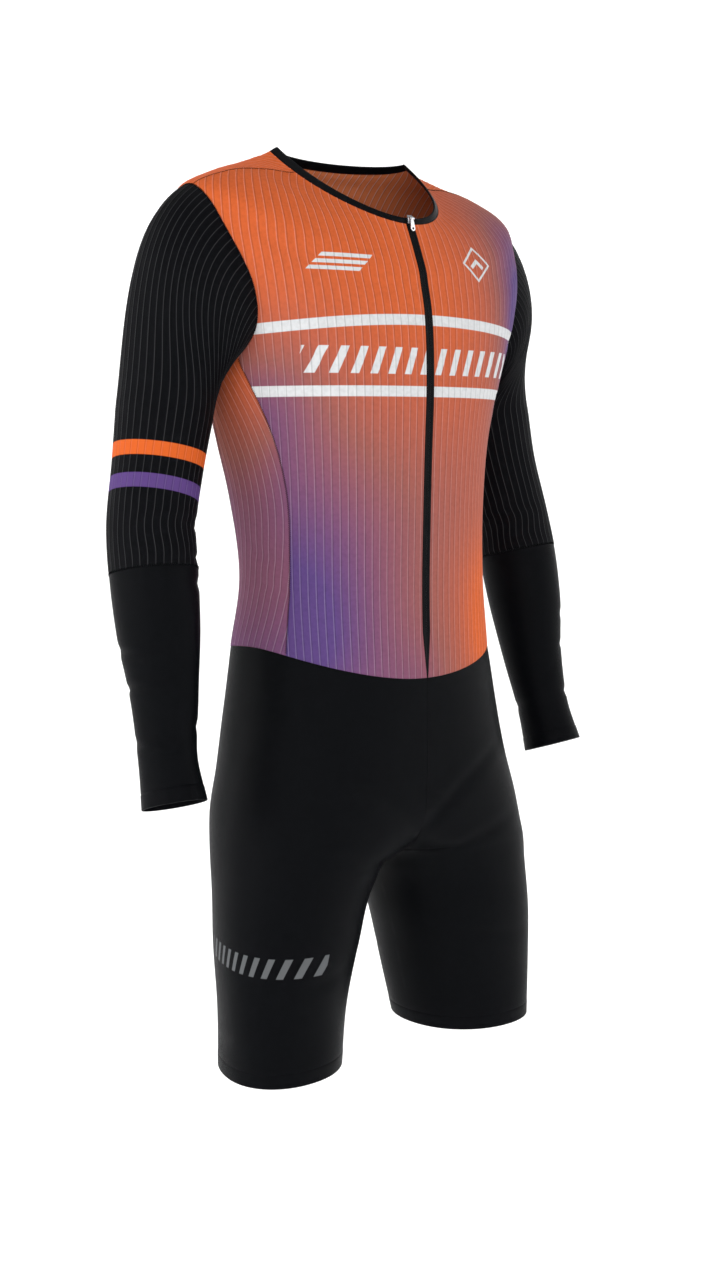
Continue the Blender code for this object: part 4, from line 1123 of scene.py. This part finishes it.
def add_back(material, reverse):
    """The back: its left half and the mirror image of it, joined at every point of the middle line."""
    outline = back_outline()
    pairs, faces, flat = knit_grid(outline, back_rib, torso_rows(), ARC_ANGLES)
    middle = pairs[:, 0] > math.pi - PROBE
    half = len(pairs)
    twin = np.arange(half)
    twin[~middle] = half + np.arange((~middle).sum())
    halves = []
    for side in SIDES.values():
        skins = torso_wall(pairs, flat, len(outline), side)
        for points in skins:
            points[middle, 0] = 0
        halves.append(skins)
    outer, inner = (np.concatenate([left, right[~middle]]) for left, right in zip(*halves))
    faces = np.concatenate([faces, twin[faces][:, ::-1]])
    uv = np.stack([flat[:, 0], pairs[:, 1]], -1) / RIB_UNIT
    uv = np.concatenate([uv, (uv * (-1, 1))[~middle]])
    stand_for(wall("cloth_back", outer, inner, faces, material, uv, reverse), "back", "mauve_cloth", **BACK_CUT)


# ---- Sleeves -------------------------------------------------------------------------------------------------------
ELBOW_WOBBLE = 0.006
ELBOW_WOBBLE_LENGTH = 0.048
ELBOW_FIRST = 0.085
ELBOW_LAST = 0.145
HEM_DEPTH = 0.014
HEM_LIFT = 0.00025
HEM_GROOVE = 0.0007
EDGE_ROUND = 0.0006


def elbow_wobble(turn, along):
    """How far the ribs sway round the arm just above the elbow, most at its inner side."""
    within = smooth((along - ELBOW_FIRST) / 0.02) * smooth((ELBOW_LAST + 0.01 - along) / 0.02)
    most = 0.45 + 0.55 * np.cos(2 * math.pi * (turn - 0.36))
    wave = np.sin(2 * math.pi * (along - ELBOW_FIRST) / ELBOW_WOBBLE_LENGTH + 1.5 * np.sin(2 * math.pi * turn))
    return ELBOW_WOBBLE * within * most * wave


def hem_lift(away):
    """A hem's own form: a turn-up that stands proud to its stitch line, and an edge that rounds over."""
    proud = HEM_LIFT * smooth((HEM_DEPTH + HEM_GROOVE - away) / HEM_GROOVE)
    groove = 1.6 * HEM_LIFT * np.exp(-(((away - HEM_DEPTH) / HEM_GROOVE) ** 2))
    return proud - groove - 0.6 * EDGE_ROUND * smooth(1 - away / EDGE_ROUND)


def even_rows(first, last, step, edge=None):
    """Row places from first to last, closer together round the stitch line and the edge where a hem ends there."""
    rows = np.linspace(first, last, int(round((last - first) / step)) + 1)
    if edge is None:
        return rows
    line = edge - HEM_DEPTH + HEM_GROOVE * np.array([-2, -1.2, -0.6, 0, 0.6, 1.2, 2])
    lip = edge - EDGE_ROUND * np.array([1.5, 1.0, 0.66, 0.33, 0.0])
    clear = np.abs(rows[:, None] - np.concatenate([line, lip])).min(-1) > 0.8 * HEM_GROOVE
    return np.sort(np.concatenate([rows[clear], line, lip]))


def sleeve_skin(turn, along, side):
    """Points and facings of a sleeve with its folds. Over the armhole it takes the torso's own folds."""
    points, facing = sleeve(turn, along), normals(sleeve, turn, along)
    angle, level = armhole(turn)
    near = smooth(1 - (along + CAP_LENGTH) / FOLD_FADE)
    shared = near * torso_folds(angle, level, side)
    body = normals(torso, angle, level)
    return points + shared[..., None] * body + sleeve_folds(turn, along, side)[..., None] * facing, facing


def sleeve_uppers(materials):
    """The ribbed upper sleeves, filled like the torso's panels. Their two long edges meet under the arm."""
    sizes = bpy.context.scene.skinsuit_sizes
    alongs = np.linspace(-CAP_LENGTH, SLEEVE_SEAM_ALONG, 131)
    top = np.stack([np.linspace(0.5, -0.5, 501), np.full(501, -CAP_LENGTH)], -1)
    foot = np.stack([np.linspace(-0.5, 0.5, 301), np.full(301, SLEEVE_SEAM_ALONG)], -1)
    front = np.stack([np.full(131, 0.5), alongs], -1)
    back = np.stack([np.full(131, -0.5), alongs], -1)
    outline = loop(top, back, foot, front[::-1])[::-1]
    rows = np.arange(-CAP_LENGTH + sizes.row_step / 2, SLEEVE_SEAM_ALONG, sizes.row_step)
    pairs, faces, flat = knit_grid(outline, sleeve_rib, rows, ARC_TURNS)
    faces = faces[:, ::-1] if upside_down(flat, faces) else faces
    turn, along = pairs.T
    at_top, at_foot = along < PROBE - CAP_LENGTH, along > SLEEVE_SEAM_ALONG - PROBE
    uv = np.stack([flat[:, 0], along], -1) / RIB_UNIT
    ribs = rib_lift(flat[:, 0] / RIB_UNIT, sizes.rib_height, sizes.rib_half_width)
    for where, side in SIDES.items():
        points, facing = sleeve_skin(turn + elbow_wobble(turn, along), along, side)
        further, _ = sleeve_skin(turn, along + PROBE, side)
        down = unit(further - sleeve_skin(turn, along, side)[0])
        points = points + SEAM_GAP / 2 * (at_top * 1.0 - at_foot)[:, None] * down
        finish_sleeve("sleeve_upper", points, facing, ribs, faces, uv, materials[where], UPPER_SLEEVE_CUT, where)


def upside_down(flat, faces):
    """Whether the triangles run clockwise where across goes right and along goes down."""
    one, other = flat[faces[0, 1]] - flat[faces[0, 0]], flat[faces[0, 2]] - flat[faces[0, 0]]
    return one[0] * other[1] - one[1] * other[0] < 0


def finish_sleeve(name, points, facing, lift, faces, uv, material, cut, where):
    """A sleeve piece's wall, mirrored on the right."""
    inner = points - bpy.context.scene.skinsuit_sizes.cloth_wall * facing
    outer = points + lift[:, None] * facing
    if SIDES[where] < 0:
        outer, inner, faces = outer * MIRROR, inner * MIRROR, faces[:, ::-1]
    piece = wall(f"cloth_{name}_{where}", outer, inner, faces, material, uv)
    stand_for(piece, f"{name}_{where}", "black_cloth", **cut)


def sleeve_lowers(material):
    """The smooth lower sleeves: a closed grid round the arm and along it to the cuff's hem."""
    step = 0.7 * bpy.context.scene.skinsuit_sizes.row_step
    turn, along = np.meshgrid(np.linspace(0, 1, 144, endpoint=False), even_rows(SLEEVE_SEAM_ALONG, CUFF, step, CUFF))
    uv = np.stack([turn * SLEEVE_ROUND, along], -1).reshape(-1, 2) / RIB_UNIT
    for where, side in SIDES.items():
        points, facing = sleeve_skin(turn, along, side)
        points[0] += SEAM_GAP / 2 * unit(points[1] - points[0])
        points, facing = points.reshape(-1, 3), facing.reshape(-1, 3)
        lift, faces = hem_lift(CUFF - along).ravel(), grid_faces(*turn.shape, closed=True)
        finish_sleeve("sleeve_lower", points, facing, lift, faces, uv, material, LOWER_SLEEVE_CUT, where)


# ---- Shorts --------------------------------------------------------------------------------------------------------
SHORTS_COLUMNS = 200


def add_shorts(materials):
    """The two leg pieces. Above the crotch a row runs from the middle plane's front to its back, and below it the
    row is closed round the leg."""
    sizes = bpy.context.scene.skinsuit_sizes
    rows = leg_rows()
    crotch = rows["z"][0] - LEG_SECTIONS["crotch"][0]
    hem = rows["z"][0] - LEG_SECTIONS["hem"][0]
    drops = np.concatenate([even_rows(0, crotch, sizes.row_step), even_rows(crotch, hem, sizes.row_step, hem)[1:]])
    drops = drops[::-1]
    joined = drops >= crotch - PROBE
    drop, share = np.meshgrid(drops, np.linspace(0, 1, SHORTS_COLUMNS + 1), indexing="ij")
    facing = normals(leg, drop, share)
    for end in (0, -1):
        facing[~joined, end, 0] = 0
    facing = unit(facing)
    facing[joined, -1] = facing[joined, 0]
    index = np.arange(drop.size).reshape(drop.shape)
    index[joined, -1] = index[joined, 0]
    faces = np.stack([index[:-1, :-1], index[:-1, 1:], index[1:, 1:], index[1:, :-1]], -1).reshape(-1, 4)
    used, faces = np.unique(faces, return_inverse=True)
    faces = faces.reshape(-1, 4)
    uv = np.stack([share * LEG_ROUND, drop], -1).reshape(-1, 2)[used] / RIB_UNIT
    for where, side in SIDES.items():
        points = leg(drop, share)
        points[-1] += SEAM_GAP / 2 * unit(points[-2] - points[-1])
        fold = leg_folds(drop, share, side)[..., None]
        outer = points + (fold + hem_lift(hem - drop)[..., None]) * facing
        inner = points + (fold - sizes.cloth_wall) * facing
        for skin in (outer, inner):
            skin[~joined, 0, 0] = SEAM_GAP / 2
            skin[~joined, -1, 0] = SEAM_GAP / 2
            skin[..., 0] = np.maximum(skin[..., 0], SEAM_GAP / 2)
        turned = faces
        if side < 0:
            outer, inner, turned = outer * MIRROR, inner * MIRROR, faces[:, ::-1]
        outer, inner = outer.reshape(-1, 3)[used], inner.reshape(-1, 3)[used]
        piece = wall(f"cloth_shorts_{where}", outer, inner, turned, materials[where], uv)
        stand_for(piece, f"shorts_{where}", "black_cloth", **SHORTS_CUT)


# ---- Neck binding and zip ------------------------------------------------------------------------------------------
BINDING_DEPTH = 0.0022
BINDING_COLUMNS = 260
BINDING_SQUARE = 3.5
TOOTH_PATH = np.array([[-1.0, 0, 0], [-0.7, 0, 0], [0, 0, 0], [0.7, 0, 0], [1.0, 0, 0]])
TOOTH_ROUND = np.array([0.35, 0.85, 1.0, 0.85, 0.35])
COIL_HALF_WIDTH = 0.0014
COIL_RADIUS = 0.00042
COIL_SINK = 0.00015
ZIP_DEPTH = 0.0014


def add_binding(material):
    """The binding: a rounded oblong profile carried along the neckline from one side of the zip to the other."""
    share, around = np.meshgrid(np.linspace(0, 1, BINDING_COLUMNS), np.linspace(0, 2 * math.pi, 24, endpoint=False))
    share, around = share.T, around.T
    power = 2 / BINDING_SQUARE
    up = np.sign(np.cos(around)) * np.abs(np.cos(around)) ** power
    out = np.sign(np.sin(around)) * np.abs(np.sin(around)) ** power
    level = NECKLINE + SEAM_GAP / 2 + (BINDING_TOP - NECKLINE - SEAM_GAP / 2) * (0.5 + 0.5 * up)
    first = torso_angle_at(zip_half_width(level) + SEAM_GAP, level)
    angle = first + share * (2 * math.pi - 2 * first)
    facing = normals(torso, angle, np.minimum(level, BINDING_TOP - PROBE))
    deep = BINDING_DEPTH / 2 * (out - 1) + HEM_LIFT
    ripple = 1 + 0.12 * np.sin(2 * math.pi * share * 96) * np.exp(-(((up + 0.62) / 0.2) ** 2))
    points = torso(angle, level) + (deep * ripple)[..., None] * facing
    sides = around.shape[1]
    last = (BINDING_COLUMNS - 1) * sides
    caps = [np.arange(sides)[None, ::-1], last + np.arange(sides)[None]]
    blocks = [grid_faces(BINDING_COLUMNS, sides, True)] + caps
    thing = add_mesh("neck_band", points.reshape(-1, 3), blocks, material)
    stand_for(thing, "neck_binding", "black_binding", **BINDING_CUT)


def add_zip(material):
    """The closed zip: a woven strip with a low bead along each side, and the coil that joins its halves."""
    sizes = bpy.context.scene.skinsuit_sizes
    levels = np.linspace(SEAM_GAP / 2, BINDING_TOP, 301)
    across = np.linspace(-1, 1, 17)
    half = torso_angle_at(zip_half_width(levels) - SEAM_GAP / 2, levels)
    angle = half[:, None] * across
    level = np.repeat(levels[:, None], len(across), 1)
    facing = normals(torso, angle, np.clip(level, PROBE, BINDING_TOP - PROBE))
    bead = 0.00025 * np.exp(-(((np.abs(across) - 0.72) / 0.14) ** 2)) - 0.0004 * np.exp(-((across / 0.16) ** 2))
    wide = np.clip(levels / ZIP_TAPER, 0, 1)[:, None]
    points = torso(angle, level)
    outer, inner = points + (bead * wide)[..., None] * facing, points - ZIP_DEPTH * facing
    uv = np.stack([across * wide * ZIP_WIDTH / 2, level], -1).reshape(-1, 2) / RIB_UNIT
    faces = grid_faces(*level.shape)
    strip = wall("zip_strip", outer.reshape(-1, 3), inner.reshape(-1, 3), faces, material, uv)
    stand_for(strip, "zip_tape", "black_zip", **ZIP_CUT)

    places = np.arange(ZIP_TAPER, BINDING_TOP - sizes.tooth_pitch, sizes.tooth_pitch)
    zero = np.zeros_like(places)
    out = normals(torso, zero, places)
    up = unit(torso(zero, places + PROBE) - torso(zero, places - PROBE))
    lean = np.where(np.arange(len(places)) % 2, 1, -1)[:, None] * 0.28
    right = unit(np.cross(up, out) + lean * up)
    axes = np.stack([right * COIL_HALF_WIDTH, np.cross(out, right) * COIL_RADIUS, out * COIL_RADIUS], 1)
    east, north = np.tile([[0, 1.0, 0]], (5, 1)), np.tile([[0, 0, 1.0]], (5, 1))
    shape, blocks = tube(TOOTH_PATH, east, north, TOOTH_ROUND)
    points, blocks = copies(shape, blocks, torso(zero, places) - COIL_SINK * out, axes)
    stand_for(add_mesh("zip_coil", points, blocks, material), None, "black_zip")


def add_slider(material):
    """The slider and its pull: the frame's own shapes with their edges rounded."""
    for node, body in (("zip_slider", GARMENT), ("zip_pull", PULL)):
        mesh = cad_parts[node].data.copy()
        work = bmesh.new()
        work.from_mesh(mesh)
        bmesh.ops.remove_doubles(work, verts=work.verts, dist=1e-6)
        bmesh.ops.dissolve_limit(work, angle_limit=math.radians(2), verts=work.verts, edges=work.edges)
        work.to_mesh(mesh)
        work.free()
        mesh.materials.clear()
        mesh.materials.append(material)
        mesh.shade_smooth()
        thing = bpy.data.objects.new("bright_" + node, mesh)
        bpy.context.scene.collection.objects.link(thing)
        rounded = thing.modifiers.new("rounded", "BEVEL")
        rounded.width = 0.00022
        rounded.segments = 3
        rounded.limit_method = "ANGLE"
        rounded.angle_limit = math.radians(40)
        rounded.harden_normals = True
        stand_for(thing, node, "bright_metal", body=body)


# ---- Stitching -----------------------------------------------------------------------------------------------------
def stitch_line(name, points, facing, material, slot):
    """A flat zigzag of thread over a seam: the path sways to each side by half the stitch's width."""
    sizes = bpy.context.scene.skinsuit_sizes
    away = np.concatenate([[0], np.cumsum(np.linalg.norm(np.diff(points, axis=0), axis=-1))])
    count = max(int(away[-1] / sizes.stitch_pitch), 8)
    at = np.linspace(0, away[-1], 3 * count + 1)
    path = np.stack([np.interp(at, away, points[:, axis]) for axis in range(3)], -1)
    out = unit(np.stack([np.interp(at, away, facing[:, axis]) for axis in range(3)], -1))
    run = unit(np.gradient(path, axis=0))
    across = unit(np.cross(out, run))
    sway = np.array([-1.0, 0.25, 1.0])[np.arange(len(at)) % 3] * sizes.stitch_width / 2
    path = path + sway[:, None] * across + 0.6 * sizes.thread_radius * out
    run = unit(np.gradient(path, axis=0))
    points, blocks = tube(path, unit(np.cross(out, run)), out, sizes.thread_radius, 5)
    stand_for(add_mesh(name, points, blocks, material), None, slot)


def add_stitching(material):
    """Flat seams on the torso, round the armholes and above the elbows."""
    lift = bpy.context.scene.skinsuit_sizes.rib_height * 0.4
    for where, side in SIDES.items():
        mirror = MIRROR if side < 0 else 1
        for name in ("princess", "side_back", "shoulder"):
            angle, level = SEAMS[name][1:-1].T
            facing = normals(torso, angle, np.clip(level, PROBE, BINDING_TOP))
            points = torso(angle, level) + (torso_folds(angle, level, side) + lift)[:, None] * facing
            stitch_line(f"stitch_{name}_{where}", points * mirror, facing * mirror, material, "black_cloth")
        turn = np.linspace(0, 1, 241)
        for name, along in (("armhole", -CAP_LENGTH), ("elbow", SLEEVE_SEAM_ALONG)):
            points, facing = sleeve_skin(turn, np.full_like(turn, along), side)
            points = points + lift * facing
            stitch_line(f"stitch_{name}_{where}", points * mirror, facing * mirror, material, "black_cloth")


# ---- Stage ---------------------------------------------------------------------------------------------------------
CAMERA_AZIMUTH = math.radians(-40.0)
CAMERA_ELEVATION = math.radians(6.66)
CAMERA_DISTANCE = 1.75
CAMERA_TARGET = Vector((0.0, 0.0, -0.478))
CAMERA_LENS = 48.15
FLOOR_BELOW = 0.30
BOWL_RADIUS = 3.2
BOWL_CORNER = 1.2
BOWL_HEIGHT = 3.0
LIGHT_COLUMNS = ("x", "y", "z", "size", "watts")
LIGHTS = {
    "key": (-1.50, -2.10, 0.90, 1.6, 13.0),
    "fill": (1.70, -1.70, 0.30, 1.8, 6.0),
    "right_side": (-2.40, 0.10, 0.00, 1.4, 14.0),
    "right_edge": (-2.00, 1.30, 0.10, 1.2, 8.0),
    "left_edge": (1.90, 1.30, 0.20, 1.2, 12.0),
    "top": (0.00, 0.00, 1.90, 1.6, 7.0),
}


def add_stage():
    """A pale floor that curves up into a wall all round, as a profile turned about the suit's own axis."""
    low = CAD_BOX[0][2] - FLOOR_BELOW
    bend = np.linspace(0, math.pi / 2, 13)
    reach = BOWL_RADIUS - BOWL_CORNER
    radius = np.concatenate([[0.001, reach / 2], reach + BOWL_CORNER * np.sin(bend), [BOWL_RADIUS]])
    height = np.concatenate([[0, 0], BOWL_CORNER * (1 - np.cos(bend)), [BOWL_HEIGHT]]) + low
    turn = np.linspace(0, 2 * math.pi, 72, endpoint=False)
    ring = np.stack([np.cos(turn), np.sin(turn)], -1)
    across = radius[:, None, None] * ring
    points = np.concatenate([across, np.repeat(height[:, None, None], 72, 1)], -1)
    faces = grid_faces(len(radius), 72, True)[:, ::-1]
    recipe = Recipe("pale_floor")
    grain = recipe.noise(30.0, 2.0)
    recipe.set(Base_Color=recipe.mix(grain, (0.90, 0.90, 0.90, 1), (0.94, 0.94, 0.94, 1)), Roughness=0.9)
    recipe.set(Emission_Color=(1.0, 1.0, 1.0, 1.0), Emission_Strength=0.30)
    cap = np.arange(72)[None]
    add_mesh("pale_floor", points.reshape(-1, 3), [faces, cap], recipe.material)


def add_camera():
    """The camera on a sphere round its target, where the photograph was taken from."""
    away = Vector((math.sin(CAMERA_AZIMUTH), -math.cos(CAMERA_AZIMUTH), math.tan(CAMERA_ELEVATION)))
    camera = bpy.data.objects.new("camera", bpy.data.cameras.new("camera"))
    camera.data.lens = CAMERA_LENS
    camera.location = CAMERA_TARGET + away.normalized() * CAMERA_DISTANCE
    camera.rotation_euler = (CAMERA_TARGET - camera.location).to_track_quat("-Z", "Y").to_euler()
    bpy.context.scene.collection.objects.link(camera)
    bpy.context.scene.camera = camera


def add_lights():
    """Large soft lights that all look at the suit, and an even pale world."""
    for name, (x, y, z, size, watts) in LIGHTS.items():
        lamp = bpy.data.objects.new(name, bpy.data.lights.new(name, "AREA"))
        lamp.data.size = size
        lamp.data.energy = watts
        lamp.location = (x, y, z)
        lamp.rotation_euler = (CAMERA_TARGET - lamp.location).to_track_quat("-Z", "Y").to_euler()
        bpy.context.scene.collection.objects.link(lamp)
    world = bpy.data.worlds.new("pale")
    world.use_nodes = True
    world.node_tree.nodes["Background"].inputs["Color"].default_value = (1.0, 1.0, 1.0, 1.0)
    world.node_tree.nodes["Background"].inputs["Strength"].default_value = 0.34
    bpy.context.scene.world = world
    bpy.context.scene.view_settings.view_transform = "Standard"


# ---- The add-on ----------------------------------------------------------------------------------------------------
def size(name, about, default, **more):
    """A length property in metres."""
    return FloatProperty(name=name, description=about, default=default, min=0.0, unit="LENGTH", precision=5, **more)


def tint(name, about, default):
    """A colour property."""
    facts = {"name": name, "description": about, "default": default}
    return FloatVectorProperty(**facts, subtype="COLOR", size=3, min=0.0, max=1.0)


class SkinsuitSizes(bpy.types.PropertyGroup):
    """Sizes of the cloth and its trims."""

    cloth_wall: size("Cloth", "Thickness of the cloth", 0.0011)
    rib_height: size("Rib height", "How far a knit rib stands proud", 0.00042)
    rib_half_width: FloatProperty(name="Rib width", description="Half a rib's width, in pitches", default=0.10)
    sleeve_ribs: IntProperty(name="Sleeve ribs", description="Ribs round an upper sleeve", default=36, min=6)
    row_step: size("Row step", "Distance between the rows of a piece's grid", 0.005)
    stripe_width: size("Stripe width", "Width of the white stripes", 0.0100)
    stitch_width: size("Stitch width", "Width of a flat seam's stitches", 0.0022)
    stitch_pitch: size("Stitch pitch", "Length of one stitch", 0.0018)
    thread_radius: size("Thread radius", "Radius of the sewing thread", 0.00018)
    tooth_pitch: size("Coil pitch", "Distance between the turns of the zip's coil", 0.0012)


class SkinsuitColours(bpy.types.PropertyGroup):
    """Colours of the print, the cloth and the metal."""

    orange: tint("Orange", "Ground of the print", (0.600, 0.108, 0.020))
    between: tint("Between", "Half way along the print's fade", (0.290, 0.092, 0.078))
    violet: tint("Violet", "Where the print's fade ends", (0.092, 0.048, 0.180))
    white_print: tint("White print", "Stripes and marks on the fronts", (0.600, 0.610, 0.620))
    grey_print: tint("Grey print", "Marks on the thigh", (0.105, 0.110, 0.115))
    black: tint("Black", "Black cloth", (0.0014, 0.0016, 0.0022))
    black_light: tint("Paler black", "Black cloth where its yarn catches light", (0.0032, 0.0036, 0.0046))
    metal: tint("Metal", "Slider and pull", (0.78, 0.79, 0.81))


class SKINSUIT_OT_fronts(bpy.types.Operator):
    """Build the two fronts"""

    bl_idname = "skinsuit.fronts"
    bl_label = "Fronts"

    def execute(self, context):
        """Both fronts share one finish."""
        finish = ribbed_print("printed_front", FRONT_FADE, FRONT_GROUND, marked=True)
        add_panels("front", front_outline(), front_rib, dict.fromkeys(SIDES, finish), FRONT_CUT, "orange_cloth")
        return {"FINISHED"}


class SKINSUIT_OT_sides(bpy.types.Operator):
    """Build the two side panels"""

    bl_idname = "skinsuit.sides"
    bl_label = "Side panels"

    def execute(self, context):
        """Both side panels share one finish."""
        finish = ribbed_print("printed_side", SIDE_FADE, SIDE_GROUND)
        add_panels("side", side_outline(), side_rib, dict.fromkeys(SIDES, finish), SIDE_CUT, "mauve_cloth")
        return {"FINISHED"}


class SKINSUIT_OT_back(bpy.types.Operator):
    """Build the back"""

    bl_idname = "skinsuit.back"
    bl_label = "Back"

    def execute(self, context):
        """One panel from side to side."""
        add_back(ribbed_print("printed_back", BACK_FADE, BACK_GROUND), print_reverse("printed_back_reverse"))
        return {"FINISHED"}


class SKINSUIT_OT_sleeves(bpy.types.Operator):
    """Build the upper and lower sleeves"""

    bl_idname = "skinsuit.sleeves"
    bl_label = "Sleeves"

    def execute(self, context):
        """The right upper sleeve has two bands."""
        ribbed = {"left": black_ribbed("black_rib"), "right": black_ribbed("black_rib_banded", bands=True)}
        sleeve_uppers(ribbed)
        sleeve_lowers(black_satin("black_satin_sleeve"))
        return {"FINISHED"}


class SKINSUIT_OT_shorts(bpy.types.Operator):
    """Build the shorts"""

    bl_idname = "skinsuit.shorts"
    bl_label = "Shorts"

    def execute(self, context):
        """The right leg has a row of grey bars."""
        add_shorts({"left": black_satin("black_satin"), "right": black_satin("black_satin_barred", barred=True)})
        return {"FINISHED"}


class SKINSUIT_OT_trims(bpy.types.Operator):
    """Build the neck binding, the zip and the stitching"""

    bl_idname = "skinsuit.trims"
    bl_label = "Binding, zip and stitching"

    def execute(self, context):
        """All of it is black apart from the metal."""
        add_binding(black_trim("binding_knit", 0.45))
        add_zip(black_trim("zip_weave", 0.40))
        add_slider(bright_metal("zip_metal"))
        add_stitching(black_trim("thread", 0.50))
        return {"FINISHED"}


class SKINSUIT_OT_stage(bpy.types.Operator):
    """Build the floor, the lights and the camera"""

    bl_idname = "skinsuit.stage"
    bl_label = "Stage"

    def execute(self, context):
        """None of it is part of the suit."""
        add_stage()
        add_camera()
        add_lights()
        return {"FINISHED"}


OPERATORS = (
    SKINSUIT_OT_fronts,
    SKINSUIT_OT_sides,
    SKINSUIT_OT_back,
    SKINSUIT_OT_sleeves,
    SKINSUIT_OT_shorts,
    SKINSUIT_OT_trims,
    SKINSUIT_OT_stage,
)


class SKINSUIT_PT_panel(bpy.types.Panel):
    """Sizes, colours and one button for each group of pieces"""

    bl_idname = "SKINSUIT_PT_panel"
    bl_label = "Skinsuit"
    bl_space_type = "VIEW_3D"
    bl_region_type = "UI"
    bl_category = "Skinsuit"

    def draw(self, context):
        """Lists the properties and the operators."""
        for group in (context.scene.skinsuit_sizes, context.scene.skinsuit_colours):
            for name in group.__annotations__:
                self.layout.prop(group, name)
        for operator in OPERATORS:
            self.layout.operator(operator.bl_idname)


CLASSES = (SkinsuitSizes, SkinsuitColours, *OPERATORS, SKINSUIT_PT_panel)


def register():
    """Registers the classes and hangs the properties on the scene."""
    for item in CLASSES:
        bpy.utils.register_class(item)
    bpy.types.Scene.skinsuit_sizes = PointerProperty(type=SkinsuitSizes)
    bpy.types.Scene.skinsuit_colours = PointerProperty(type=SkinsuitColours)


def unregister():
    """Takes them away again."""
    del bpy.types.Scene.skinsuit_colours
    del bpy.types.Scene.skinsuit_sizes
    for item in reversed(CLASSES):
        bpy.utils.unregister_class(item)


def main():
    """Builds every piece in order."""
    register()
    for operator in OPERATORS:
        group, name = operator.bl_idname.split(".")
        getattr(getattr(bpy.ops, group), name)()


if __name__ == "__main__":
    main()
